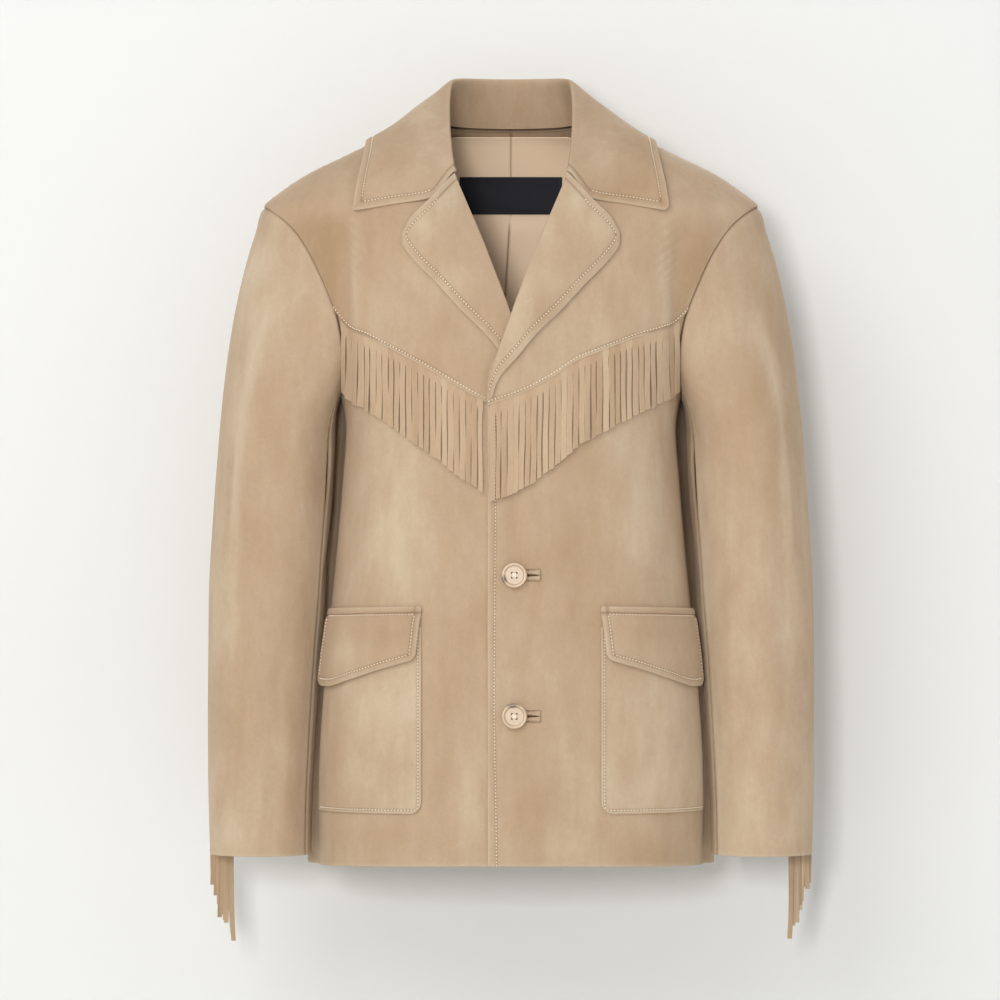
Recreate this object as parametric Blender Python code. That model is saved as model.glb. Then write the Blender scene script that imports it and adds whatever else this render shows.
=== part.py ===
"""Fringed suede jacket, filled out as when it is worn, modelled as thin closed walls.

Units are metres, +Z is up and the front of the jacket faces -Y.  The origin lies in the
neck opening at shoulder height, where the wearer carries the jacket.
The body panels, pockets, lapels and fringe all lie on one torso surface, given by a short
table of level sections; angle 0 is the centre front, 90 degrees the side and shoulder
seam and 180 degrees the centre back.  Side +1 is the wearer's left, at +X.
"""

from collections import namedtuple

import bmesh
import bpy
import numpy as np
from mathutils import Matrix

# cloth thickness and the spaces between pieces
CLOTH = 0.0018
FOLDED_CLOTH = 0.0024
LINING_CLOTH = 0.0010
SEAM_GAP = 0.0004
LAY_GAP = 0.0004
TORSO_RADIUS = 0.10

# body sizes
NECK_POINT_Z = 0.010
NAPE_Z = 0.004
SHOULDER_TIP_Z = -0.075
UNDERARM_Z = -0.252
HEM_Z = -0.697
HEM_DROP_AT_BACK = 0.005
FRONT_OVERLAP = 0.022
ROW_CROWDING = 1.5
NORMAL_STEP = 0.001
CHEST_CREASE_X = 0.150
CHEST_CREASE_DEPTH = 0.0045
CHEST_CREASE_WIDTH = 0.010
CHEST_CREASE_TOP_Z = (-0.120, -0.080)
CHEST_CREASE_FOOT_Z = (-0.275, -0.235)
BACK_FLARE = 0.011
BACK_FLARE_Z = (-0.350, -0.262)
BACK_FLARE_RISE = np.radians((90.0, 104.0))
BACK_FLARE_FALL = np.radians((110.0, 150.0))

Section = namedtuple("Section", "z half_width front_depth back_depth squareness")
TORSO = (
    Section(0.016, 0.056, 0.006, 0.062, 2.2),
    Section(0.010, 0.070, 0.014, 0.071, 2.2),
    Section(0.000, 0.098, 0.030, 0.083, 2.3),
    Section(-0.015, 0.136, 0.048, 0.093, 2.4),
    Section(-0.028, 0.163, 0.062, 0.100, 2.5),
    Section(-0.042, 0.192, 0.0755, 0.107, 2.5),
    Section(-0.060, 0.219, 0.0865, 0.113, 2.5),
    Section(-0.075, 0.235, 0.094, 0.117, 2.5),
    Section(-0.105, 0.228, 0.104, 0.122, 2.5),
    Section(-0.140, 0.213, 0.111, 0.125, 2.5),
    Section(-0.180, 0.192, 0.116, 0.126, 2.6),
    Section(-0.220, 0.172, 0.119, 0.124, 2.6),
    Section(-0.252, 0.161, 0.120, 0.121, 2.7),
    Section(-0.285, 0.156, 0.119, 0.118, 2.8),
    Section(-0.330, 0.159, 0.118, 0.116, 2.9),
    Section(-0.400, 0.165, 0.118, 0.116, 2.9),
    Section(-0.460, 0.171, 0.119, 0.118, 2.9),
    Section(-0.525, 0.177, 0.121, 0.121, 2.9),
    Section(-0.600, 0.182, 0.123, 0.124, 2.9),
    Section(-0.660, 0.183, 0.124, 0.126, 2.9),
    Section(-0.710, 0.181, 0.124, 0.127, 2.9),
)

# armhole: the seam swings to the front and to the back of the side line
ARMHOLE_FRONT_SWING = np.radians(37.0)
ARMHOLE_BACK_SWING = np.radians(33.0)
ARMHOLE_UPPER_ROUNDNESS = 3.0
ARMHOLE_LOWER_ROUNDNESS = 1.8

# lines on the front, seen from straight ahead, on the wearer's left
FrontPoint = namedtuple("FrontPoint", "x z")
ROLL_LINE = (
    FrontPoint(-0.0220, -0.2450),
    FrontPoint(-0.0112, -0.2100),
    FrontPoint(-0.0035, -0.1880),
    FrontPoint(0.0165, -0.1340),
    FrontPoint(0.0360, -0.0857),
    FrontPoint(0.0487, -0.0560),
    FrontPoint(0.0530, -0.0450),
)
NECKLINE_FRONT = (
    FrontPoint(0.0530, -0.0450),
    FrontPoint(0.0605, -0.0270),
    FrontPoint(0.0680, -0.0090),
    FrontPoint(0.0720, 0.0040),
)
LAPEL_TOP = (
    FrontPoint(0.0530, -0.0450),
    FrontPoint(0.0720, -0.0695),
    FrontPoint(0.0925, -0.0880),
    FrontPoint(0.1005, -0.1000),
)
LAPEL_EDGE = (
    FrontPoint(0.1005, -0.1000),
    FrontPoint(0.1000, -0.1100),
    FrontPoint(0.0930, -0.1235),
    FrontPoint(0.0695, -0.1487),
    FrontPoint(0.0480, -0.1724),
    FrontPoint(0.0233, -0.1970),
    FrontPoint(0.0075, -0.2160),
    FrontPoint(-0.0121, -0.2399),
    FrontPoint(-0.0175, -0.2555),
)
UNDER_LAPEL_END = 0.82
YOKE_SEAM_LEFT_OF_WEARER = (
    FrontPoint(-0.0220, -0.2620),
    FrontPoint(0.0140, -0.2492),
    FrontPoint(0.0391, -0.2353),
    FrontPoint(0.0614, -0.2204),
    FrontPoint(0.0818, -0.2120),
    FrontPoint(0.1153, -0.1985),
    FrontPoint(0.1507, -0.1860),
)
YOKE_SEAM_RIGHT_OF_WEARER = (
    FrontPoint(-0.0220, -0.2750),
    FrontPoint(0.0223, -0.2594),
    FrontPoint(0.0512, -0.2436),
    FrontPoint(0.0763, -0.2287),
    FrontPoint(0.1030, -0.2138),
    FrontPoint(0.1330, -0.1975),
    FrontPoint(0.1490, -0.1900),
)
YOKE_SEAM_END_Z = -0.173
YOKE_LIFT = 0.0016
YOKE_LIFT_FADE = (0.020, 0.080)
FRONT_STEP = 0.0024
FRONT_STEP_FADE_X = (0.030, 0.075)
UNDER_LAPEL_STEP = 0.0048
UNDER_LAPEL_STEP_FADE_X = (0.006, 0.045)
UNDER_LAPEL_STEP_Z = (-0.325, -0.268)
LAPEL_BULGE = 0.0050
LAPEL_EDGE_LIFT = 0.0012
LAPEL_TOP_DROP = 0.0016

# neck seam round the back: share of the way to the front, angle in degrees and height
NeckRow = namedtuple("NeckRow", "way angle z")
NECK_SEAM_BACK = (
    NeckRow(0.00, 180.0, NAPE_Z),
    NeckRow(0.22, 150.0, 0.0048),
    NeckRow(0.45, 120.0, 0.0078),
    NeckRow(0.62, 90.0, NECK_POINT_Z),
)
NECK_SEAM_FRONT_WAYS = (0.70, 0.78, 0.88, 1.00)

# collar: fold, middle and outer edge of the fall, by share of the way to the front
CollarRow = namedtuple("CollarRow", "way fold mid outer")
COLLAR = (
    CollarRow(0.00, (0.0, 0.0740, 0.0525), (0.0, 0.0960, 0.0250), (0.0, 0.1150, -0.0240)),
    CollarRow(0.30, (0.0420, 0.0560, 0.0520), (0.0590, 0.0760, 0.0270), (0.0830, 0.0960, -0.0190)),
    CollarRow(0.50, (0.0575, 0.0230, 0.0480), (0.0830, 0.0320, 0.0290), (0.1330, 0.0330, -0.0120)),
    CollarRow(0.62, (0.0595, -0.0040, 0.0290), (0.0870, -0.0010, 0.0190), (0.1370, -0.0100, -0.0100)),
    CollarRow(0.78, (0.0590, -0.0370, 0.0030), (0.0860, -0.0410, -0.0010), (0.1395, -0.0530, -0.0260)),
    CollarRow(0.90, (0.0565, -0.0640, -0.0240), (0.0800, -0.0740, -0.0360), (0.1450, -0.0805, -0.0540)),
    CollarRow(1.00, (0.0530, -0.0820, -0.0440), (0.0725, -0.0930, -0.0680), (0.1490, -0.0885, -0.0810)),
)
COLLAR_LIP = 0.006
COLLAR_FOLD_HALF_WIDTH = 0.0026
COLLAR_COLUMNS = 31
COLLAR_LIP_SHARE = 0.45
COLLAR_LIP_LEAST = 0.0012
COLLAR_FOLD_RISE = 0.0010
COLLAR_FOLD_ROUND = (0.0008, 0.0012)
COLLAR_UPPER_SHARE = 0.55
STAND_END = 0.81
NECK_SEAM_RISE = 0.0024

# sleeves
SleeveSection = namedtuple("SleeveSection", "z centre_x centre_y half_width half_depth")
SLEEVE = (
    SleeveSection(-0.300, 0.2225, 0.002, 0.0555, 0.0700),
    SleeveSection(-0.360, 0.2262, 0.000, 0.0562, 0.0660),
    SleeveSection(-0.420, 0.2300, -0.004, 0.0560, 0.0620),
    SleeveSection(-0.500, 0.2335, -0.011, 0.0535, 0.0570),
    SleeveSection(-0.580, 0.2360, -0.018, 0.0510, 0.0530),
    SleeveSection(-0.640, 0.2370, -0.023, 0.0490, 0.0500),
    SleeveSection(-0.686, 0.2367, -0.026, 0.0478, 0.0480),
)
SLEEVE_CAP_ROWS = 7
SLEEVE_ARM_ROWS = 11
SLEEVE_FRONT_SEAM = np.radians(-64.0)
SLEEVE_BACK_SEAM = np.radians(146.0)
SLEEVE_RADIUS = 0.05
SLEEVE_HEAD_OUT = (0.45, 0.15)
SLEEVE_HEAD_DOWN = 0.85

# pockets on each front
POCKET_INNER_X = 0.0835
POCKET_OUTER_ANGLE = np.radians(76.0)
POCKET_TOP_Z = -0.470
POCKET_BOTTOM_Z = -0.6435
POCKET_CORNER = 0.010
POCKET_CORNER_FULLNESS = 0.6
FLAP_INNER_X = 0.0825
FLAP_TOP_Z = -0.4500
FLAP_OUTER_ANGLE = np.radians(79.0)
FLAP_OUTER_SINK = 0.004
FLAP_INNER_SLANT = 0.0055
FLAP_OVER_POCKET = (0.003, 0.014)
FLAP_STEP = 0.0026
FLAP_FLARE = 0.0012
FlapRow = namedtuple("FlapRow", "share drop")
FLAP = (
    FlapRow(0.00, 0.0500),
    FlapRow(0.24, 0.0590),
    FlapRow(0.46, 0.0675),
    FlapRow(0.70, 0.0735),
    FlapRow(0.86, 0.0730),
    FlapRow(1.00, 0.0690),
)

# buttons and bound buttonholes
BUTTON_X = 0.0028
BUTTON_Z = {"upper": -0.4215, "lower": -0.5525}
BUTTON_RADIUS = 0.0120
BUTTON_THICKNESS = 0.0036
BUTTON_EDGE_ROUND = (0.0012, 0.0010)
BUTTON_RECESS_RADIUS = 0.0088
BUTTON_RECESS_DEPTH = 0.0007
BUTTON_HOLE_RADIUS = 0.0010
BUTTON_HOLE_SPACING = 0.0021
BUTTONHOLE_START_X = 0.0040
BUTTONHOLE_END_X = 0.0266
BUTTONHOLE_HALF_HEIGHT = 0.0058
BUTTONHOLE_WELT_END = 0.0020
BUTTONHOLE_SLIT_HALF_HEIGHT = 0.0009
BUTTONHOLE_CLOTH = 0.0010

# fringe
CHEST_STRAND_PITCH = 0.0055
CHEST_FRINGE_OUTER_X = 0.158
CHEST_FRINGE_START_X = {"left": -0.0200, "right": 0.0260}
CHEST_STRAND_SIDE_LENGTH = 0.066
CHEST_STRAND_CENTRE_LENGTH = 0.093
STRAND_FILL = 0.80
STRAND_CLOTH = 0.0012
CHEST_STRAND_UNEVEN_LENGTH = 0.0020
CHEST_STRAND_DRIFT = 0.0004
CHEST_STRAND_FLARE = 0.0030
CHEST_FRINGE_SIDE_LIFT = 0.0018
CHEST_FRINGE_SIDE_X = (0.115, 0.145)
CHEST_FRINGE_WIDEST = 0.985
FRINGE_STRIP = 0.0035
SLEEVE_STRANDS = 12
SLEEVE_STRAND_PITCH = 0.0057
SLEEVE_STRAND_LENGTH = 0.090
SLEEVE_STRAND_WIDTH = 0.0043
SLEEVE_STRAND_STEP = 0.00175
SLEEVE_STRAND_BEND = 0.010
SLEEVE_STRAND_BEND_GROWTH = 0.0012
SLEEVE_STRAND_UNEVEN_LENGTH = 0.0025
SLEEVE_FRINGE_STACK = (0.85, 0.53, 0.0)
SLEEVE_FRINGE_GAP = 0.00054

# lining and label at the inside of the back
LINING_HALF_WIDTH = 0.100
LINING_WING_SHARES = (0.006, 0.20, 0.40, 0.60, 0.80, 1.00)
LINING_ROWS = 11
LINING_TOP_Z = 0.001
LINING_TOP_SLOPE = 0.30
LINING_TOP_FLAT_X = 0.055
LINING_BOTTOM_Z = -0.265
LINING_GAP = 0.0023
LINING_PLEAT = 0.0014
PLEAT_WIDTH = 0.020
PLEAT_START_Z = (-0.078, -0.100)
PLEAT_X = -0.0010
PLEAT_SLANT = 0.060
PLEAT_SLANT_Z = (-0.080, -0.180)
LABEL_HALF_WIDTH = 0.050
LABEL_TOP_Z = -0.0365
LABEL_BOTTOM_Z = -0.0735
LABEL_CLOTH = 0.0010

# material of each kind of piece: colour, roughness, metallic
MATERIALS = {
    "suede": ((0.58, 0.42, 0.27), 0.95, 0.0),
    "suede_fringe": ((0.60, 0.45, 0.30), 0.95, 0.0),
    "lining": ((0.60, 0.45, 0.31), 0.45, 0.0),
    "label": ((0.012, 0.012, 0.015), 0.80, 0.0),
    "button": ((0.60, 0.44, 0.28), 0.30, 0.0),
}


# curves and surfaces

def smooth_through(knots, values, at):
    """Cubic curve through the knots, whose slopes never overshoot."""
    knots = np.asarray(knots, float)
    values = np.asarray(values, float)
    steps = np.diff(knots)
    secants = np.diff(values) / steps
    before, after = secants[:-1], secants[1:]
    same_way = before * after > 0.0
    safe_sum = np.where(same_way, before + after, 1.0)
    inner = np.where(same_way, 2.0 * before * after / safe_sum, 0.0)
    slopes = np.concatenate(([secants[0]], inner, [secants[-1]]))
    at = np.clip(np.asarray(at, float), knots[0], knots[-1])
    cell = np.clip(np.searchsorted(knots, at, side="right") - 1, 0, len(steps) - 1)
    width = steps[cell]
    t = (at - knots[cell]) / width
    start = (1 + 2 * t) * (1 - t) ** 2 * values[cell] + t * (1 - t) ** 2 * width * slopes[cell]
    end = t * t * (3 - 2 * t) * values[cell + 1] + t * t * (t - 1) * width * slopes[cell + 1]
    return start + end


def smoothstep(low, high, value):
    """Rise from 0 to 1 between two values, level at both ends."""
    share = np.clip((np.asarray(value, float) - low) / (high - low), 0.0, 1.0)
    return share * share * (3.0 - 2.0 * share)


def along(points, shares):
    """Points at shares of the length of a smooth path."""
    points = np.asarray(points, float)
    lengths = np.linalg.norm(np.diff(points, axis=0), axis=1)
    distance = np.concatenate(([0.0], np.cumsum(lengths)))
    at = np.asarray(shares, float) * distance[-1]
    columns = [smooth_through(distance, points[:, k], at) for k in range(points.shape[1])]
    return np.stack(columns, axis=-1)


def torso_sizes(z):
    """Half width, front depth, back depth and squareness of the torso at a height."""
    rising = TORSO[::-1]
    heights = [row.z for row in rising]
    fields = Section._fields[1:]
    return [smooth_through(heights, [getattr(row, field) for row in rising], z) for field in fields]


def torso_base(angle, z):
    """Point of the torso surface on the wearer's left at an angle from the centre front."""
    angle, z = np.broadcast_arrays(np.asarray(angle, float), np.asarray(z, float))
    half_width, front_depth, back_depth, squareness = torso_sizes(z)
    power = 2.0 / squareness
    sideways = np.sign(np.sin(angle)) * np.abs(np.sin(angle)) ** power
    ahead = np.sign(np.cos(angle)) * np.abs(np.cos(angle)) ** power
    flare = smoothstep(*BACK_FLARE_RISE, angle) * (1.0 - smoothstep(*BACK_FLARE_FALL, angle))
    x = half_width * sideways + BACK_FLARE * flare * (1.0 - smoothstep(*BACK_FLARE_Z, z))
    y = -np.where(ahead > 0.0, front_depth, back_depth) * ahead
    beside = np.exp(-(((x - CHEST_CREASE_X) / CHEST_CREASE_WIDTH) ** 2))
    reach = smoothstep(*CHEST_CREASE_FOOT_Z, z) * (1.0 - smoothstep(*CHEST_CREASE_TOP_Z, z))
    y = y + CHEST_CREASE_DEPTH * beside * reach * (ahead > 0.0)
    return np.stack([x, y, z], axis=-1)


def torso(angle, z, lift=0.0, side=1):
    """Point at a distance outside the torso surface, on the wearer's left or right side."""
    angle, z = np.broadcast_arrays(np.asarray(angle, float), np.asarray(z, float))
    around = torso_base(angle + NORMAL_STEP, z) - torso_base(angle - NORMAL_STEP, z)
    upward = torso_base(angle, z + NORMAL_STEP) - torso_base(angle, z - NORMAL_STEP)
    normal = np.cross(around, upward)
    normal /= np.linalg.norm(normal, axis=-1, keepdims=True)
    points = torso_base(angle, z) + normal * np.asarray(lift, float)[..., None]
    return points * np.array([side, 1.0, 1.0])


def front_angle(x, z):
    """Angle on the torso of a front point given by its sideways place and height."""
    half_width, _, _, squareness = torso_sizes(z)
    ratio = np.clip(np.abs(x) / half_width, 0.0, 1.0)
    return np.sign(x) * np.arcsin(ratio ** (squareness / 2.0))


def back_angle(x, z):
    """Angle on the torso of a back point given by its sideways place and height."""
    return np.pi - front_angle(x, z)


def on_torso(points):
    """Angle and height of front points given by their sideways place and height."""
    points = np.asarray(points, float)
    return np.stack([front_angle(points[:, 0], points[:, 1]), points[:, 1]], axis=-1)


def armhole(turn, clearance=0.0):
    """Angle and height on the torso of the armhole seam: turn 0 front, 90 top, 180 back."""
    upward, ahead = np.sin(turn), np.cos(turn)
    power = 2.0 / np.where(upward > 0.0, ARMHOLE_UPPER_ROUNDNESS, ARMHOLE_LOWER_ROUNDNESS)
    middle = (SHOULDER_TIP_Z + UNDERARM_Z) / 2.0
    half_height = (SHOULDER_TIP_Z - UNDERARM_Z) / 2.0 + clearance
    swing = np.where(ahead > 0.0, ARMHOLE_FRONT_SWING, ARMHOLE_BACK_SWING) + clearance / TORSO_RADIUS
    z = middle + half_height * np.sign(upward) * np.abs(upward) ** power
    angle = np.pi / 2.0 - swing * np.sign(ahead) * np.abs(ahead) ** power
    return np.stack([angle, z], axis=-1)


def armhole_turn(z):
    """Turn of the armhole seam at which its front passes a height."""
    middle = (SHOULDER_TIP_Z + UNDERARM_Z) / 2.0
    half_height = (SHOULDER_TIP_Z - UNDERARM_Z) / 2.0
    share = (z - middle) / half_height
    roundness = ARMHOLE_UPPER_ROUNDNESS if share > 0.0 else ARMHOLE_LOWER_ROUNDNESS
    return np.sign(share) * np.arcsin(np.abs(share) ** (roundness / 2.0))


def patch(bottom, top, left, right, rise=None):
    """Grid that blends four edge curves; rows rise from bottom to top, evenly or as given."""
    across = np.linspace(0.0, 1.0, len(bottom))[None, :, None]
    rise = np.linspace(0.0, 1.0, len(left)) if rise is None else rise
    upward = rise[:, None, None]
    ruled = (1 - upward) * bottom[None] + upward * top[None]
    ruled = ruled + (1 - across) * left[:, None] + across * right[:, None]
    corners = (1 - upward) * ((1 - across) * bottom[0] + across * bottom[-1])
    corners = corners + upward * ((1 - across) * top[0] + across * top[-1])
    return ruled - corners


# solids

def thicken(outer, thickness):
    """Second layer of a grid, at a distance behind its face."""
    across = np.gradient(outer, axis=1)
    upward = np.gradient(outer, axis=0)
    normal = np.cross(across, upward)
    normal /= np.linalg.norm(normal, axis=-1, keepdims=True)
    return outer - normal * thickness


def cell_faces(outer_number, inner_number, keep):
    """Faces round the kept cells between two layers of numbered points."""
    faces = []
    rows, columns = keep.shape
    padded = np.pad(keep, 1)
    for i in range(rows):
        for j in range(columns):
            if not keep[i, j]:
                continue
            corners = ((i, j), (i, j + 1), (i + 1, j + 1), (i + 1, j))
            faces.append([outer_number[c] for c in corners])
            faces.append([inner_number[c] for c in reversed(corners)])
            beyond = (padded[i, j + 1], padded[i + 1, j + 2], padded[i + 2, j + 1], padded[i + 1, j])
            for k, filled in enumerate(beyond):
                if not filled:
                    a, b = corners[k], corners[(k + 1) % 4]
                    faces.append([outer_number[b], outer_number[a], inner_number[a], inner_number[b]])
    return faces


def add_object(name, mesh, kind):
    """Object with the material of its kind, with all its faces pointing out."""
    work = bmesh.new()
    work.from_mesh(mesh)
    loose = [vert for vert in work.verts if not vert.link_faces]
    bmesh.ops.delete(work, geom=loose, context="VERTS")
    bmesh.ops.triangulate(work, faces=work.faces[:])
    if work.calc_volume(signed=True) < 0.0:
        bmesh.ops.reverse_faces(work, faces=work.faces[:])
    work.to_mesh(mesh)
    work.free()
    colour, roughness, metallic = MATERIALS[kind]
    material = bpy.data.materials.get(kind)
    if material is None:
        material = bpy.data.materials.new(kind)
        material.use_nodes = True
        shader = material.node_tree.nodes["Principled BSDF"]
        shader.inputs["Base Color"].default_value = (*colour, 1.0)
        shader.inputs["Roughness"].default_value = roughness
        shader.inputs["Metallic"].default_value = metallic
    mesh.materials.append(material)
    mesh.shade_smooth()
    mesh.set_sharp_from_angle(angle=np.radians(40.0))
    thing = bpy.data.objects.new(name, mesh)
    bpy.context.scene.collection.objects.link(thing)
    return thing


def wall(name, outer, inner, kind, keep=None):
    """Closed solid between two grids of points; cells that are not kept stay open."""
    rows, columns = outer.shape[:2]
    if keep is None:
        keep = np.ones((rows - 1, columns - 1), bool)
    number = np.arange(rows * columns).reshape(rows, columns)
    faces = cell_faces(number, number + rows * columns, keep)
    points = np.concatenate([outer.reshape(-1, 3), inner.reshape(-1, 3)])
    mesh = bpy.data.meshes.new(name)
    mesh.from_pydata(points.tolist(), [], faces)
    mesh.update()
    return add_object(name, mesh, kind)


# layers on the front of the torso

def yoke_seam_height(x, side):
    """Height of the yoke seam at a sideways place, on the wearer's left or right."""
    seam = YOKE_SEAM_LEFT_OF_WEARER if side > 0 else YOKE_SEAM_RIGHT_OF_WEARER
    end = torso_base(*armhole(armhole_turn(YOKE_SEAM_END_Z)))
    xs = [point.x for point in seam] + [end[0]]
    zs = [point.z for point in seam] + [end[2]]
    return smooth_through(xs, zs, x)


def front_lift(x, z, side):
    """Rise of a front above the torso surface: the wearer's left front laps over the right."""
    if side < 0:
        return np.zeros(np.broadcast(x, z).shape)
    lap = FRONT_STEP * (1.0 - smoothstep(*FRONT_STEP_FADE_X, x))
    over_lapel = UNDER_LAPEL_STEP * (1.0 - smoothstep(*UNDER_LAPEL_STEP_FADE_X, x))
    return lap + over_lapel * smoothstep(*UNDER_LAPEL_STEP_Z, z)


def yoke_lift(x, z, side):
    """Rise of a yoke: it laps over the front at the yoke seam and sinks level above it."""
    above = z - yoke_seam_height(x, side)
    return front_lift(x, z, side) + YOKE_LIFT * (1.0 - smoothstep(*YOKE_LIFT_FADE, above))


def on_front(x, z, lift, side):
    """Points at a height above the torso surface, seen from the front at x and z."""
    return torso(front_angle(x, z), z, lift, side)


def crowded(count):
    """Rising shares from 0 to 1 that lie closer and closer towards the end."""
    return 1.0 - (1.0 - np.linspace(0.0, 1.0, count)) ** ROW_CROWDING


def sized(path, count):
    """Evenly spread points on a smooth path."""
    return along(path, np.linspace(0.0, 1.0, count))


# body

def yoke(name, side):
    """Yoke over one front, from the roll line and neck seam out to the armhole."""
    columns, rows = 13, 13
    seam_table = YOKE_SEAM_LEFT_OF_WEARER if side > 0 else YOKE_SEAM_RIGHT_OF_WEARER
    seam_end = armhole_turn(YOKE_SEAM_END_Z + SEAM_GAP)
    armhole_edge = armhole(np.linspace(seam_end, np.pi / 2.0, rows), SEAM_GAP)
    bottom = np.concatenate([on_torso(seam_table), armhole_edge[:1]])
    bottom[:-1, 1] += SEAM_GAP
    inner_edge = on_torso(ROLL_LINE + NECKLINE_FRONT[1:])
    left = np.concatenate([bottom[:1], inner_edge, [[np.pi / 2.0, NECK_POINT_Z]]])
    shoulder = np.stack([np.full(columns, np.pi / 2.0),
                         np.linspace(NECK_POINT_Z, armhole_edge[-1, 1], columns)], axis=-1)
    shoulder[:, 0] -= SEAM_GAP / TORSO_RADIUS
    left[-1] = shoulder[0]
    grid = patch(sized(bottom, columns), shoulder, sized(left, rows), armhole_edge)
    angle, z = grid[..., 0], grid[..., 1]
    x = torso_base(angle, z)[..., 0]
    lift = yoke_lift(x, z, side)
    wall(name, torso(angle, z, lift, side), torso(angle, z, lift - CLOTH, side), "suede")


def hem_height(angle):
    """Height of the hem, which drops a little towards the back."""
    return HEM_Z + HEM_DROP_AT_BACK * np.cos(angle)


def front(name, side):
    """Lower front, from the yoke seam to the hem and from the front edge to the side seam."""
    columns, rows = 13, 17
    seam_table = YOKE_SEAM_LEFT_OF_WEARER if side > 0 else YOKE_SEAM_RIGHT_OF_WEARER
    turns = np.linspace(armhole_turn(YOKE_SEAM_END_Z), -np.pi / 2.0, 7)
    armhole_edge = armhole(turns, SEAM_GAP)
    side_angle = np.pi / 2.0 - SEAM_GAP / TORSO_RADIUS
    armhole_edge[-1, 0] = side_angle
    side_foot = [[side_angle, hem_height(side_angle)]]
    right = np.concatenate([armhole_edge, side_foot])
    top = np.concatenate([on_torso(seam_table), armhole_edge[:1]])
    edge_x = np.full(rows, -FRONT_OVERLAP)
    edge_z = np.linspace(hem_height(0.0), top[0, 1], rows)
    left = on_torso(np.stack([edge_x, edge_z], axis=-1))
    foot_angle = np.linspace(left[0, 0], side_angle, columns)
    bottom = np.stack([foot_angle, hem_height(foot_angle)], axis=-1)
    top = sized(top, columns)
    left[-1] = top[0]
    grid = patch(bottom, top, left, sized(right[::-1], rows))
    angle, z = grid[..., 0], grid[..., 1]
    x = torso_base(angle, z)[..., 0]
    lift = front_lift(x, z, side)
    wall(name, torso(angle, z, lift, side), torso(angle, z, lift - CLOTH, side), "suede")


def back(name, side):
    """One half of the back, from the centre seam to the side seam and shoulder to hem."""
    columns, rows = 12, 19
    neck_columns = 6
    rise = crowded(rows)
    side_angle = np.pi / 2.0 + SEAM_GAP / TORSO_RADIUS
    turns = np.linspace(-np.pi / 2.0, -1.5 * np.pi, 10)
    armhole_edge = armhole(turns, SEAM_GAP)
    armhole_edge[0, 0] = side_angle
    armhole_edge[-1, 0] = side_angle
    right = np.concatenate([[[side_angle, hem_height(side_angle)]], armhole_edge])
    centre_z = hem_height(np.pi) + rise * (NAPE_Z - hem_height(np.pi))
    left = np.stack([back_angle(SEAM_GAP / 2.0, centre_z), centre_z], axis=-1)
    neck = np.array([[np.radians(row.angle), row.z] for row in NECK_SEAM_BACK])
    neck[0] = left[-1]
    neck[-1, 0] = side_angle
    neck_share = sized(neck, neck_columns)
    shoulder_columns = columns - neck_columns + 1
    shoulder_z = np.linspace(NECK_POINT_Z, armhole_edge[-1, 1], shoulder_columns)
    shoulder = np.stack([np.full(shoulder_columns, side_angle), shoulder_z], axis=-1)
    top = np.concatenate([neck_share, shoulder[1:]])
    foot_angle = np.linspace(left[0, 0], side_angle, columns)
    bottom = np.stack([foot_angle, hem_height(foot_angle)], axis=-1)
    grid = patch(bottom, top, left, along(right, rise), rise)
    angle, z = grid[..., 0], grid[..., 1]
    flat = np.zeros(angle.shape)
    wall(name, torso(angle, z, flat, side), torso(angle, z, flat - CLOTH, side), "suede")


# sleeves

def sleeve_section(turn, z):
    """Point of the sleeve surface below the armhole, on the wearer's left."""
    rising = SLEEVE[::-1]
    heights = [row.z for row in rising]
    centre_x, centre_y, half_width, half_depth = (
        smooth_through(heights, [getattr(row, field) for row in rising], z)
        for field in SleeveSection._fields[1:])
    x = centre_x + half_width * np.sin(turn)
    y = centre_y - half_depth * np.cos(turn)
    return np.stack(np.broadcast_arrays(x, y, z), axis=-1)


def sleeve_surface(turns):
    """Grid of the sleeve, a column for each turn, from the cuff up to the armhole seam."""
    top_z, cuff_z = SLEEVE[0].z, SLEEVE[-1].z
    arm_z = np.linspace(cuff_z, top_z, SLEEVE_ARM_ROWS)[:, None]
    arm = sleeve_section(turns[None, :], arm_z)
    end = arm[-1]
    down = sleeve_section(turns, top_z - 0.01) - sleeve_section(turns, top_z)
    down /= np.linalg.norm(down, axis=-1, keepdims=True)
    root_seam = armhole(turns, -SEAM_GAP)
    root = torso(root_seam[:, 0], root_seam[:, 1], np.zeros(len(turns)))
    out = SLEEVE_HEAD_OUT[0] + SLEEVE_HEAD_OUT[1] * np.sin(turns)
    outward = np.stack([out, 0.0 * turns, np.full(len(turns), -SLEEVE_HEAD_DOWN)], axis=-1)
    outward /= np.linalg.norm(outward, axis=-1, keepdims=True)
    reach = np.linalg.norm(end - root, axis=-1, keepdims=True)
    share = np.linspace(0.0, 1.0, SLEEVE_CAP_ROWS)[:, None, None]
    cap = ((1 + 2 * share) * (1 - share) ** 2 * root
           + share * (1 - share) ** 2 * reach * outward
           + share ** 2 * (3 - 2 * share) * end
           + share ** 2 * (share - 1) * reach * down)
    return np.concatenate([arm, cap[::-1][1:]])


def sleeve_piece(name, side, first_turn, last_turn, columns):
    """Top or under sleeve: a part of the sleeve between its two seams."""
    step = (last_turn - first_turn) / (columns - 1)
    turns = first_turn + step * np.arange(-1, columns + 1)
    outer = sleeve_surface(turns)
    inner = thicken(outer, CLOTH)
    flip = np.array([side, 1.0, 1.0])
    wall(name, outer[:, 1:-1] * flip, inner[:, 1:-1] * flip, "suede")


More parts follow.
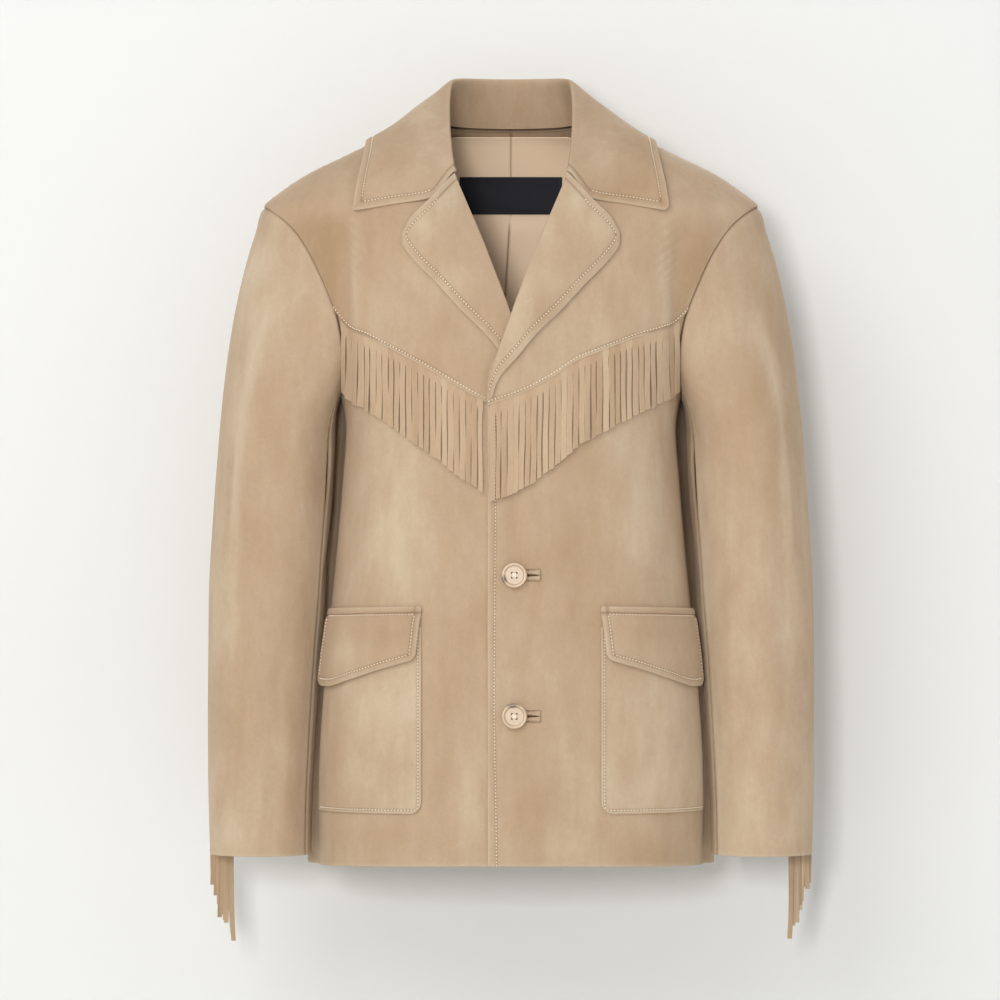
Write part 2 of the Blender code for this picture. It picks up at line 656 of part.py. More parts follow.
def sleeve_fringe(name, side):
    """Comb of strands that hangs from the back seam of a sleeve."""
    columns = 2 * SLEEVE_STRANDS
    layers = np.zeros((2, 4, columns, 3))
    keep = np.ones((3, columns - 1), bool)
    keep[1:, 1::2] = False
    stack = np.array(SLEEVE_FRINGE_STACK) / np.linalg.norm(SLEEVE_FRINGE_STACK)
    upward = np.array([0.0, 0.0, 1.0])
    breadth = np.cross(upward, stack)
    for k in range(SLEEVE_STRANDS):
        root_z = SLEEVE[-1].z + SLEEVE_STRAND_WIDTH + k * SLEEVE_STRAND_PITCH
        seam = sleeve_section(SLEEVE_BACK_SEAM, root_z) + stack * SLEEVE_FRINGE_GAP
        bend = SLEEVE_STRAND_BEND + k * SLEEVE_STRAND_BEND_GROWTH
        length = SLEEVE_STRAND_LENGTH - SLEEVE_STRAND_UNEVEN_LENGTH * np.sin(1.7 * k) ** 2
        aside = FRINGE_STRIP + k * SLEEVE_STRAND_STEP
        for edge, sign in enumerate((-1.0, 1.0)):
            column = 2 * k + edge
            root_edge = seam + upward * sign * SLEEVE_STRAND_WIDTH / 2.0
            for layer, face in enumerate((-1.0, 1.0)):
                thin = breadth * face * STRAND_CLOTH / 2.0
                broad = breadth * face * SLEEVE_STRAND_WIDTH / 2.0
                layers[layer, 0, column] = root_edge + thin
                layers[layer, 1, column] = root_edge + stack * FRINGE_STRIP + thin
                for row, drop in ((2, bend), (3, length)):
                    away = stack * (aside + sign * STRAND_CLOTH / 2.0)
                    layers[layer, row, column] = seam + away + broad - upward * drop
    flip = np.array([side, 1.0, 1.0])
    wall(name, layers[0] * flip, layers[1] * flip, "suede_fringe", keep)


# collar and lapels

def neck_seam(way):
    """Point of the neck seam on the wearer's left, by share of the way round to the front."""
    front = on_torso(NECKLINE_FRONT[::-1])
    ways = [row.way for row in NECK_SEAM_BACK] + list(NECK_SEAM_FRONT_WAYS)
    angles = [np.radians(row.angle) for row in NECK_SEAM_BACK] + list(front[:, 0])
    heights = [row.z for row in NECK_SEAM_BACK] + list(front[:, 1])
    return torso(smooth_through(ways, angles, way), smooth_through(ways, heights, way), -CLOTH / 2.0)


def collar_line(field, ways):
    """Smooth line of the collar from one front end round the back to the other."""
    knots = [-row.way for row in COLLAR[:0:-1]] + [row.way for row in COLLAR]
    points = [getattr(row, field) for row in COLLAR]
    mirrored = [(-x, y, z) for x, y, z in points[:0:-1]]
    both = np.array(mirrored + points)
    return np.stack([smooth_through(knots, both[:, k], ways) for k in range(3)], axis=-1)


def collar_frame(ways):
    """Fold, neck seam, way out from the neck, way down to the seam and lip depth."""
    fold = collar_line("fold", ways)
    seam = neck_seam(np.abs(ways)) * np.stack([np.sign(ways), np.ones(len(ways)), np.ones(len(ways))], -1)
    seam = seam + np.array([0.0, 0.0, NECK_SEAM_RISE])
    outward = collar_line("mid", ways) - fold
    outward[:, 2] = 0.0
    outward /= np.linalg.norm(outward, axis=-1, keepdims=True)
    neck_side = fold - outward * COLLAR_FOLD_HALF_WIDTH
    down = seam - neck_side
    height = np.linalg.norm(down, axis=-1, keepdims=True)
    lip = np.clip(COLLAR_LIP_SHARE * height, COLLAR_LIP_LEAST, COLLAR_LIP)
    return fold, seam, outward, down / height, lip


def collar_fall(name):
    """Fall of the collar: a lip inside the fold, the fold itself and the leaf outside."""
    ways = np.linspace(-1.0, 1.0, COLLAR_COLUMNS)
    fold, _, outward, down, lip = collar_frame(ways)
    mid = collar_line("mid", ways)
    outer = collar_line("outer", ways)
    half = COLLAR_FOLD_HALF_WIDTH
    neck_side = fold - outward * half
    far_side = fold + outward * half
    leaf_down = (mid - far_side) / np.linalg.norm(mid - far_side, axis=-1, keepdims=True)
    rows = [
        neck_side + down * lip,
        neck_side + down * COLLAR_FOLD_ROUND[0],
        fold + np.array([0.0, 0.0, COLLAR_FOLD_RISE]),
        far_side + leaf_down * COLLAR_FOLD_ROUND[1],
        (1.0 - COLLAR_UPPER_SHARE) * far_side + COLLAR_UPPER_SHARE * mid,
        mid,
        0.5 * mid + 0.5 * outer,
        outer,
    ]
    grid = np.stack(rows)[:, ::-1]
    wall(name, grid, thicken(grid, -CLOTH), "suede")


def collar_stand(name):
    """Stand of the collar, between the neck seam and the lip of the fall."""
    ways = np.linspace(-1.0, 1.0, COLLAR_COLUMNS)
    ways = ways[np.abs(ways) < STAND_END]
    fold, seam, outward, down, lip = collar_frame(ways)
    neck_side = fold - outward * COLLAR_FOLD_HALF_WIDTH
    top = neck_side + down * (lip + 1.5 * SEAM_GAP)
    shares = np.linspace(0.0, 1.0, 3)[:, None, None]
    grid = (1.0 - shares) * seam + shares * top
    wall(name, grid, grid + outward * CLOTH, "suede")


def lapel(name, side):
    """Lapel folded back over its front; the right one ends under the left front."""
    columns, rows = 7, 13
    end = 1.0 if side > 0 else UNDER_LAPEL_END
    shares = np.linspace(0.0, end, rows)
    roll = along(ROLL_LINE[::-1], shares)
    edge = along(LAPEL_EDGE, shares)
    top = sized(LAPEL_TOP, columns)
    across = np.linspace(0.0, 1.0, columns)
    foot = (1.0 - across[:, None]) * roll[-1] + across[:, None] * edge[-1]
    grid = patch(foot, top, roll[::-1], edge[::-1])
    x, z = grid[..., 0], grid[..., 1] - LAPEL_TOP_DROP
    upward = np.linspace(0.0, 1.0, rows)[:, None]
    swell = upward * (LAPEL_BULGE * 4.0 * across * (1.0 - across) + LAPEL_EDGE_LIFT * across)
    under = yoke_lift(x, z, side) + LAY_GAP + swell
    outer = on_front(x, z, under + FOLDED_CLOTH, side)
    wall(name, outer, on_front(x, z, under, side), "suede")


# lining and label

def in_back(x, z, depth):
    """Points inside the back, seen from the front at x and z, at a depth from its face."""
    return torso(back_angle(x, z), z, -np.asarray(depth, float))


def pleat_x(z):
    """Sideways place of the pleat, which runs down from the label a little to one side."""
    start, end = PLEAT_SLANT_Z
    return PLEAT_X - PLEAT_SLANT * (start - np.clip(z, end, start))


def lining_back(name):
    """Lining inside the back, with the pleat below the label."""
    shares = crowded(LINING_ROWS)[:, None]
    wing = np.array(LINING_WING_SHARES) * LINING_HALF_WIDTH
    spread = np.concatenate([-wing[::-1], wing])
    top = LINING_TOP_Z - LINING_TOP_SLOPE * np.clip(np.abs(spread) - LINING_TOP_FLAT_X, 0.0, None)
    z = (1.0 - shares) * LINING_BOTTOM_Z + shares * top
    near_middle = np.exp(-((spread / PLEAT_WIDTH) ** 2))
    x = spread + pleat_x(z) * near_middle
    folded = LINING_PLEAT * (x > pleat_x(z)) * smoothstep(*PLEAT_START_Z, z)
    depth = CLOTH + LINING_GAP + folded
    wall(name, in_back(x, z, depth + LINING_CLOTH), in_back(x, z, depth), "lining")


def neck_label(name):
    """Plain label sewn to the lining below the neck."""
    x = np.linspace(-LABEL_HALF_WIDTH, LABEL_HALF_WIDTH, 7)[None, :]
    z = np.linspace(LABEL_BOTTOM_Z, LABEL_TOP_Z, 3)[:, None]
    x, z = np.broadcast_arrays(x, z)
    depth = np.full(x.shape, CLOTH + LINING_GAP + LINING_CLOTH + 2.0 * LAY_GAP)
    wall(name, in_back(x, z, depth + LABEL_CLOTH), in_back(x, z, depth), "label")


# pockets

def pocket(name, side):
    """Patch pocket that wraps towards the side seam, with a round inner foot."""
    z = np.linspace(POCKET_BOTTOM_Z, POCKET_TOP_Z, 9)[:, None]
    shares = np.linspace(0.0, 1.0, 9)[None, :]
    low = np.clip((POCKET_BOTTOM_Z + POCKET_CORNER - z) / POCKET_CORNER, 0.0, 1.0)
    inner_x = POCKET_INNER_X + POCKET_CORNER * POCKET_CORNER_FULLNESS * (1.0 - np.sqrt(1.0 - low ** 2))
    inner = front_angle(inner_x, z)
    angle = (1.0 - shares) * inner + shares * POCKET_OUTER_ANGLE
    z = np.broadcast_to(z, angle.shape)
    lift = np.full(angle.shape, LAY_GAP)
    wall(name, torso(angle, z, lift + CLOTH, side), torso(angle, z, lift, side), "suede")


def pocket_flap(name, side):
    """Flap over the pocket mouth: deeper towards the side, swelling over the patch."""
    shares = np.linspace(0.0, 1.0, 11)[None, :]
    down = np.linspace(1.0, 0.0, 8)[:, None]
    drop = smooth_through([row.share for row in FLAP], [row.drop for row in FLAP], shares)
    z = FLAP_TOP_Z - drop * down - FLAP_OUTER_SINK * shares
    inner = front_angle(FLAP_INNER_X + FLAP_INNER_SLANT * down, z)
    angle = (1.0 - shares) * inner + shares * FLAP_OUTER_ANGLE
    raised = 1.0 - smoothstep(*FLAP_OVER_POCKET, z - POCKET_TOP_Z)
    lift = LAY_GAP + FLAP_STEP * raised + FLAP_FLARE * down ** 2
    wall(name, torso(angle, z, lift + FOLDED_CLOTH, side), torso(angle, z, lift, side), "suede")


# buttons

def front_axes(x, z, lift):
    """Place on the wearer's left front and its sideways, upward and outward directions."""
    place = on_front(x, z, front_lift(x, z, 1) + lift, 1)
    outward = on_front(x, z, front_lift(x, z, 1) + lift + BUTTON_THICKNESS, 1) - place
    outward /= np.linalg.norm(outward)
    sideways = np.cross(outward, (0.0, 0.0, 1.0))
    sideways /= -np.linalg.norm(sideways)
    return place, sideways, np.cross(outward, sideways), outward


def buttonhole(name, z):
    """Bound buttonhole: a flat frame of welts round a slit in the wearer's left front."""
    start, end = BUTTONHOLE_START_X, BUTTONHOLE_END_X
    x = np.array([start, start + BUTTONHOLE_WELT_END, end - BUTTONHOLE_WELT_END, end])[None, :]
    heights = np.array([-BUTTONHOLE_HALF_HEIGHT, -BUTTONHOLE_SLIT_HALF_HEIGHT,
                        BUTTONHOLE_SLIT_HALF_HEIGHT, BUTTONHOLE_HALF_HEIGHT])[:, None]
    x, heights = np.broadcast_arrays(x, z + heights)
    keep = np.ones((3, 3), bool)
    keep[1, 1] = False
    lift = front_lift(x, heights, 1) + LAY_GAP
    outer = on_front(x, heights, lift + BUTTONHOLE_CLOTH, 1)
    wall(name, outer, on_front(x, heights, lift, 1), "suede", keep)


def add_cutter(name, mesh):
    """Hidden object that cuts another."""
    cutter = bpy.data.objects.new(name, mesh)
    bpy.context.scene.collection.objects.link(cutter)
    cutter.hide_render = True
    cutter.display_type = "WIRE"
    return cutter


def turned(name, profile, segments):
    """Mesh of a profile of radius and height turned about its own axis."""
    work = bmesh.new()
    path = [work.verts.new((radius, 0.0, height)) for radius, height in profile]
    edges = [work.edges.new(pair) for pair in zip(path[:-1], path[1:])]
    bmesh.ops.spin(work, geom=path + edges, cent=(0, 0, 0), axis=(0, 0, 1),
                   angle=2.0 * np.pi, steps=segments, use_merge=True)
    bmesh.ops.remove_doubles(work, verts=work.verts, dist=1.0e-6)
    bmesh.ops.recalc_face_normals(work, faces=work.faces)
    mesh = bpy.data.meshes.new(name)
    work.to_mesh(mesh)
    work.free()
    return mesh


def button(name, z):
    """Four-hole button with a round rim, on the buttonhole of the wearer's left front."""
    lift = LAY_GAP + BUTTONHOLE_CLOTH + LAY_GAP
    place, sideways, upward, outward = front_axes(BUTTON_X, z, lift)
    rim, edge = BUTTON_THICKNESS, BUTTON_RADIUS
    recess = BUTTON_RECESS_RADIUS
    inset, round_height = BUTTON_EDGE_ROUND
    profile = [(0.0, 0.0), (edge - inset, 0.0), (edge, round_height), (edge, rim - round_height),
               (edge - inset, rim), (recess + round_height, rim),
               (recess, rim - BUTTON_RECESS_DEPTH), (0.0, rim - BUTTON_RECESS_DEPTH)]
    disc = add_object(name, turned(name, profile, 20), "button")
    turn = Matrix((sideways, upward, outward)).transposed().to_4x4()
    disc.matrix_world = Matrix.Translation(place) @ turn
    for corner in range(4):
        across = BUTTON_HOLE_SPACING * (1 if corner in (0, 3) else -1)
        above = BUTTON_HOLE_SPACING * (1 if corner < 2 else -1)
        hole = BUTTON_HOLE_RADIUS
        pin = [(0.0, -rim), (hole, -rim), (hole, 2.0 * rim), (0.0, 2.0 * rim)]
        cutter = add_cutter(f"{name}_hole_{corner}", turned(f"{name}_hole_{corner}", pin, 6))
        cutter.matrix_world = disc.matrix_world @ Matrix.Translation((across, above, 0.0))
        cut = disc.modifiers.new("hole", "BOOLEAN")
        cut.object = cutter
        cut.operation = "DIFFERENCE"


# chest fringe

def chest_fringe(name, side):
    """Comb of strands that hangs over a front from under the yoke seam."""
    start = CHEST_FRINGE_START_X["left" if side > 0 else "right"]
    strands = int((CHEST_FRINGE_OUTER_X - start) / CHEST_STRAND_PITCH)
    strand = np.repeat(np.arange(strands), 2)
    edge = np.tile((-1.0, 1.0), strands)
    middle = start + (strand + 0.5) * CHEST_STRAND_PITCH
    x = middle + edge * CHEST_STRAND_PITCH * STRAND_FILL / 2.0
    outwards = np.clip(middle / CHEST_FRINGE_OUTER_X, 0.0, 1.0)
    length = CHEST_STRAND_CENTRE_LENGTH * (1.0 - outwards) + CHEST_STRAND_SIDE_LENGTH * outwards
    length = length + CHEST_STRAND_UNEVEN_LENGTH * np.sin(2.1 * strand)
    top = yoke_seam_height(x, side) - 2.0 * SEAM_GAP
    drops = np.stack([0.0 * length, 0.0 * length + FRINGE_STRIP, 0.5 * length, length])[::-1]
    z = top - drops
    drift = CHEST_STRAND_DRIFT * np.sin(2.4 * strand) * (drops > FRINGE_STRIP)
    x = np.broadcast_to(x, z.shape) + drift
    x = np.minimum(x, CHEST_FRINGE_WIDEST * torso_sizes(z)[0])
    away = CHEST_STRAND_FLARE * (drops / CHEST_STRAND_CENTRE_LENGTH) ** 2
    at_side = CHEST_FRINGE_SIDE_LIFT * smoothstep(*CHEST_FRINGE_SIDE_X, x)
    lift = front_lift(x, z, side) + LAY_GAP + away + at_side
    keep = np.ones((3, 2 * strands - 1), bool)
    keep[:2, 1::2] = False
    outer = on_front(x, z, lift + STRAND_CLOTH, side)
    wall(name, outer, on_front(x, z, lift, side), "suede_fringe", keep)


def remove_everything():
    """Empty the scene."""
    for thing in list(bpy.data.objects):
        bpy.data.objects.remove(thing, do_unlink=True)


def main():
    """Make every piece of the jacket."""
    remove_everything()
    gap = 2.0 * SEAM_GAP / SLEEVE_RADIUS
    for word, side in (("left", 1), ("right", -1)):
        back(f"back_{word}", side)
        yoke(f"yoke_{word}", side)
        front(f"front_{word}", side)
        lapel(f"lapel_{word}", side)
        chest_fringe(f"fringe_chest_{word}", side)
        pocket(f"pocket_{word}", side)
        pocket_flap(f"pocket_flap_{word}", side)
        sleeve_piece(f"sleeve_top_{word}", side, SLEEVE_FRONT_SEAM, SLEEVE_BACK_SEAM, 10)
        sleeve_piece(f"sleeve_under_{word}", side, SLEEVE_BACK_SEAM + gap,
                     SLEEVE_FRONT_SEAM + 2.0 * np.pi - gap, 10)
        sleeve_fringe(f"fringe_sleeve_{word}", side)
    collar_fall("collar_fall")
    collar_stand("collar_stand")
    lining_back("lining_back")
    neck_label("neck_label")
    for word, z in BUTTON_Z.items():
        buttonhole(f"buttonhole_{word}", z)
        button(f"button_{word}", z)


main()
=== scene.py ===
import math

import bpy
import numpy as np
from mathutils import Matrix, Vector


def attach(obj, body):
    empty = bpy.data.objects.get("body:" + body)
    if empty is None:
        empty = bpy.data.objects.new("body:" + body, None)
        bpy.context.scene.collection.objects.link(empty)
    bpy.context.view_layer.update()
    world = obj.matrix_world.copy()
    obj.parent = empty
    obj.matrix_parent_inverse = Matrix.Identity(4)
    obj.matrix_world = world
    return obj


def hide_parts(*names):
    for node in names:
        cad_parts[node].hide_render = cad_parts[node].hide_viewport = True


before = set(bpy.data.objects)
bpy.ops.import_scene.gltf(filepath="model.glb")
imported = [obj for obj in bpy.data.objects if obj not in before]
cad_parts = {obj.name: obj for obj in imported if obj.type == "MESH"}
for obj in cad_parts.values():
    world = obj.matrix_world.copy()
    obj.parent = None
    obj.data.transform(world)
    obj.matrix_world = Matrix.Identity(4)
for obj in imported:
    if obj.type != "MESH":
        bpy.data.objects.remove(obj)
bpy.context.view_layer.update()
print("frame loaded")

up = np.array([0.0, 0.0, 1.0])


# Curve through knots whose slope at a knot is the harmonic mean of its two neighbours
def smoothThrough(knots, values, at):
    knots = np.asarray(knots, float)
    values = np.asarray(values, float)
    steps = np.diff(knots)
    secants = np.diff(values) / steps
    before, after = secants[:-1], secants[1:]
    sameWay = before * after > 0.0
    inner = np.where(sameWay, 2.0 * before * after / np.where(sameWay, before + after, 1.0), 0.0)
    slopes = np.concatenate(([secants[0]], inner, [secants[-1]]))
    at = np.clip(np.asarray(at, float), knots[0], knots[-1])
    cell = np.clip(np.searchsorted(knots, at, side="right") - 1, 0, len(steps) - 1)
    width = steps[cell]
    t = (at - knots[cell]) / width
    start = (1 + 2 * t) * (1 - t) ** 2 * values[cell] + t * (1 - t) ** 2 * width * slopes[cell]
    end = t * t * (3 - 2 * t) * values[cell + 1] + t * t * (t - 1) * width * slopes[cell + 1]
    return start + end


# Smooth rise from 0 to 1: t * t * (3 - 2 t)
def rise(low, high, value):
    t = np.clip((np.asarray(value, float) - low) / (high - low), 0.0, 1.0)
    return t * t * (3.0 - 2.0 * t)


# Bell of height 1: exp(-(distance / width) squared)
def bell(distance, width):
    return np.exp(-np.square(distance / width))


# Points at shares of the length of a smooth path
def along(points, shares):
    points = np.asarray(points, float)
    lengths = np.linalg.norm(np.diff(points, axis=0), axis=1)
    travelled = np.concatenate(([0.0], np.cumsum(lengths)))
    at = np.asarray(shares, float) * travelled[-1]
    return np.stack([smoothThrough(travelled, column, at) for column in points.T], axis=-1)


# Grid blended from four edge paths: ruled both ways, less the bilinear corners
def patch(bottom, top, left, right, across, upward):
    bottom, top = along(bottom, across), along(top, across)
    left, right = along(left, upward), along(right, upward)
    u, v = across[None, :, None], upward[:, None, None]
    ruled = (1 - v) * bottom[None] + v * top[None] + (1 - u) * left[:, None] + u * right[:, None]
    corners = (1 - v) * ((1 - u) * bottom[0] + u * bottom[-1]) + v * ((1 - u) * top[0] + u * top[-1])
    return ruled - corners


# Unit normals of a grid: across slope crossed with upward slope
def gridNormals(points):
    normal = np.cross(np.gradient(points, axis=1), np.gradient(points, axis=0))
    return normal / np.maximum(np.linalg.norm(normal, axis=-1, keepdims=True), 1e-12)


# Distance over the cloth of every grid point from its four borders
def borderDistances(points):
    across = np.linalg.norm(np.diff(points, axis=1), axis=-1)
    upward = np.linalg.norm(np.diff(points, axis=0), axis=-1)
    fromLeft = np.pad(np.cumsum(across, axis=1), ((0, 0), (1, 0)))
    fromBottom = np.pad(np.cumsum(upward, axis=0), ((1, 0), (0, 0)))
    return {"left": fromLeft, "right": fromLeft[:, -1:] - fromLeft,
            "bottom": fromBottom, "top": fromBottom[-1:] - fromBottom}


# Repeatable noise of one wave sum for each row of frequencies, phases and strengths
def ripple(a, b, waves):
    total = np.zeros(np.broadcast(a, b).shape)
    for alongA, alongB, phase, strength in waves:
        total = total + strength * np.sin(alongA * a + alongB * b + phase)
    return total


# Closed shell between two grids: a face each side of every kept cell and a strip round the rest
def shellMesh(name, outer, inner, keep=None, marks=None, uv=None):
    rows, columns = outer.shape[:2]
    keep = np.ones((rows - 1, columns - 1), bool) if keep is None else keep
    count = rows * columns
    number = np.arange(count).reshape(rows, columns)
    a, b = number[:-1, :-1], number[:-1, 1:]
    c, d = number[1:, 1:], number[1:, :-1]
    padded = np.pad(keep, 1)
    faces = [np.stack([a, b, c, d], -1)[keep], np.stack([d, c, b, a], -1)[keep] + count]
    beyond = ((padded[:-2, 1:-1], a, b), (padded[1:-1, 2:], b, c),
              (padded[2:, 1:-1], c, d), (padded[1:-1, :-2], d, a))
    for filled, first, second in beyond:
        bare = keep & ~filled
        p, q = first[bare], second[bare]
        faces.append(np.stack([q, p, p + count, q + count], -1))
    faces = np.concatenate(faces)
    points = np.concatenate([outer.reshape(-1, 3), inner.reshape(-1, 3)])
    used, faces = np.unique(faces, return_inverse=True)
    faces = faces.reshape(-1, 4)
    layers = {key: np.tile(np.broadcast_to(value, (rows, columns)).ravel(), 2)[used]
              for key, value in (marks or {}).items()}
    flat = None if uv is None else np.tile(uv.reshape(-1, 2), (2, 1))[used]
    return newMesh(name, points[used], faces, layers, flat)


# Mesh from arrays, turned over where six times its volume, the sum of p0 . (p1 x p2), is negative
def newMesh(name, points, faces, marks=None, uv=None):
    volume = 0.0
    for k in range(1, faces.shape[1] - 1):
        p, q, r = points[faces[:, 0]], points[faces[:, k]], points[faces[:, k + 1]]
        volume += np.einsum("ij,ij->", p, np.cross(q, r))
    if volume < 0.0:
        faces = faces[:, ::-1]
    mesh = bpy.data.meshes.new(name)
    mesh.vertices.add(len(points))
    mesh.vertices.foreach_set("co", points.astype(np.float32).ravel())
    mesh.loops.add(faces.size)
    mesh.loops.foreach_set("vertex_index", faces.astype(np.int32).ravel())
    mesh.polygons.add(len(faces))
    mesh.polygons.foreach_set("loop_start", np.arange(len(faces), dtype=np.int32) * faces.shape[1])
    mesh.update(calc_edges=True)
    for key, values in (marks or {}).items():
        layer = mesh.attributes.new(key, "FLOAT", "POINT")
        layer.data.foreach_set("value", values.astype(np.float32))
    if uv is not None:
        layer = mesh.uv_layers.new(name="UVMap")
        layer.data.foreach_set("uv", uv[faces.ravel()].astype(np.float32).ravel())
    mesh.validate()
    mesh.shade_smooth()
    mesh.set_sharp_from_angle(angle=math.radians(42.0))
    return mesh


# Piece of the jacket: it rides on the root, takes a finish and stands for its solids
def addPiece(name, mesh, material, slotName, *nodes):
    mesh.materials.append(material)
    piece = bpy.data.objects.new(name, mesh)
    bpy.context.scene.collection.objects.link(piece)
    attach(piece, "root")
    if nodes:
        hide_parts(*nodes)
    return piece


# Several meshes of points and faces as one: later faces are counted on from the points before
def joined(parts):
    points = np.concatenate([part[0] for part in parts])
    starts = np.cumsum([0] + [len(part[0]) for part in parts[:-1]])
    return points, np.concatenate([part[1] + start for part, start in zip(parts, starts)])


# Body of the jacket: one torso surface, given by level sections from neck to hem
torsoRows = np.array([
    # z, half width, front depth, back depth, squareness
    (-0.710, 0.181, 0.124, 0.127, 2.9), (-0.660, 0.183, 0.124, 0.126, 2.9),
    (-0.600, 0.182, 0.123, 0.124, 2.9), (-0.525, 0.177, 0.121, 0.121, 2.9),
    (-0.460, 0.171, 0.119, 0.118, 2.9), (-0.400, 0.165, 0.118, 0.116, 2.9),
    (-0.330, 0.159, 0.118, 0.116, 2.9), (-0.285, 0.156, 0.119, 0.118, 2.8),
    (-0.252, 0.161, 0.120, 0.121, 2.7), (-0.220, 0.172, 0.119, 0.124, 2.6),
    (-0.180, 0.192, 0.116, 0.126, 2.6), (-0.140, 0.213, 0.111, 0.125, 2.5),
    (-0.105, 0.228, 0.104, 0.122, 2.5), (-0.075, 0.235, 0.094, 0.117, 2.5),
    (-0.060, 0.219, 0.0865, 0.113, 2.5), (-0.042, 0.192, 0.0755, 0.107, 2.5),
    (-0.028, 0.163, 0.062, 0.100, 2.5), (-0.015, 0.136, 0.048, 0.093, 2.4),
    (0.000, 0.098, 0.030, 0.083, 2.3), (0.010, 0.070, 0.014, 0.071, 2.2),
    (0.016, 0.056, 0.006, 0.062, 2.2)])
body = {"cloth": 0.0017, "probe": 0.01, "stitchInset": 0.0078,
        "neckPointZ": 0.010, "napeZ": 0.004, "shoulderTipZ": -0.075,
        "underarmZ": -0.252, "hemZ": -0.697, "hemDrop": 0.005, "overlap": 0.022,
        "creaseX": 0.151, "creaseDepth": 0.0046, "creaseWidth": 0.0085, "backFlare": 0.016,
        "frontSwing": math.radians(37), "backSwing": math.radians(33),
        "upperRound": 3.0, "lowerRound": 1.8, "yokeEndZ": -0.173}

# Sections smoothed along the height with a narrow bell, so that no row shows as a band
fineZ = np.arange(torsoRows[0, 0], torsoRows[-1, 0] + 1e-9, 0.001)
fineRows = np.stack([smoothThrough(torsoRows[:, 0], torsoRows[:, k], fineZ) for k in range(1, 5)])
kernel = bell(np.arange(-12, 13), 5.0)
kernel /= kernel.sum()
edged = np.stack([np.concatenate([2 * row[0] - row[12:0:-1], row, 2 * row[-1] - row[-2:-14:-1]])
                  for row in fineRows])
fineRows = np.stack([np.convolve(row, kernel, "valid") for row in edged])


# Half width, front depth, back depth and squareness of the torso at a height
def torsoSizes(z):
    return [np.interp(z, fineZ, row) for row in fineRows]


# Torso point at a polar angle: radius (|sin|^n + |cos|^n)^(-1/n), stretched to the section
def torsoBase(phi, z):
    phi, z = np.broadcast_arrays(np.asarray(phi, float), np.asarray(z, float))
    halfWidth, frontDepth, backDepth, power = torsoSizes(z)
    s, c = np.sin(phi), np.cos(phi)
    radius = (np.abs(s) ** power + np.abs(c) ** power) ** (-1.0 / power)
    x = halfWidth * radius * s
    y = -np.where(c > 0.0, frontDepth, backDepth) * radius * c
    theta = np.arctan2(np.abs(s) ** (power / 2), np.sign(c) * np.abs(c) ** (power / 2))
    flare = rise(*np.radians((90.0, 104.0)), theta) * rise(*np.radians((150.0, 110.0)), theta)
    x = x + body["backFlare"] * flare * rise(-0.228, -0.276, z)
    reach = rise(-0.080, -0.120, z) * rise(-0.290, -0.235, z) * rise(0.0, 0.15, c)
    past = x - body["creaseX"]
    step = rise(-body["creaseWidth"], 0.0, past) * rise(0.034, 0.0, past)
    y = y + body["creaseDepth"] * step * reach
    return np.stack([x, y, z], axis=-1)


# Torso point moved out along the normal, the cross product of the two slopes
def torso(phi, z, lift=0.0, side=1):
    phi, z = np.broadcast_arrays(np.asarray(phi, float), np.asarray(z, float))
    step = 2.0e-3
    around = torsoBase(phi + step, z) - torsoBase(phi - step, z)
    upward = torsoBase(phi, z + step) - torsoBase(phi, z - step)
    normal = np.cross(around, upward)
    normal /= np.linalg.norm(normal, axis=-1, keepdims=True)
    points = torsoBase(phi, z) + normal * np.asarray(lift, float)[..., None]
    return points * np.array([side, 1.0, 1.0])


# Polar angle of a front point: atan(u / (1 - u^n)^(1/n)) with u the share of the half width
def frontPhi(x, z):
    halfWidth, _, _, power = torsoSizes(z)
    u = np.clip(np.abs(x) / halfWidth, 0.0, 1.0)
    return np.sign(x) * np.arctan2(u, (1.0 - u ** power) ** (1.0 / power))


# Front points as angle and height
def onTorso(points):
    points = np.asarray(points, float)
    return np.stack([frontPhi(points[:, 0], points[:, 1]), points[:, 1]], axis=-1)


# Points of the front seen at x and z, at a height above the torso
def onFront(x, z, lift, side):
    return torso(frontPhi(x, z), z, lift, side)


# Armhole seam as angle and height: an oval whose turn is 0 in front, 90 on top, 180 behind
def armhole(turn, wider=0.0):
    upward, ahead = np.sin(turn), np.cos(turn)
    power = 2.0 / np.where(upward > 0.0, body["upperRound"], body["lowerRound"])
    middle = (body["shoulderTipZ"] + body["underarmZ"]) / 2.0
    half = (body["shoulderTipZ"] - body["underarmZ"]) / 2.0 + wider
    swing = np.where(ahead > 0.0, body["frontSwing"], body["backSwing"]) + wider / 0.12
    z = middle + half * np.sign(upward) * np.abs(upward) ** power
    angle = np.pi / 2.0 - swing * np.sign(ahead) * np.abs(ahead) ** power
    squareness = torsoSizes(z)[3]
    across = np.abs(np.sin(angle)) ** (2.0 / squareness)
    forward = np.sign(np.cos(angle)) * np.abs(np.cos(angle)) ** (2.0 / squareness)
    return np.stack([np.arctan2(across, forward), z], axis=-1)


# Turn of the armhole seam at which its front passes a height
def armholeTurn(z):
    middle = (body["shoulderTipZ"] + body["underarmZ"]) / 2.0
    share = (z - middle) / ((body["shoulderTipZ"] - body["underarmZ"]) / 2.0)
    roundness = body["upperRound"] if share > 0.0 else body["lowerRound"]
    return np.sign(share) * math.asin(abs(share) ** (roundness / 2.0))


# Height of the hem, which drops a little towards the back
def hemHeight(phi):
    return body["hemZ"] + body["hemDrop"] * np.cos(phi)


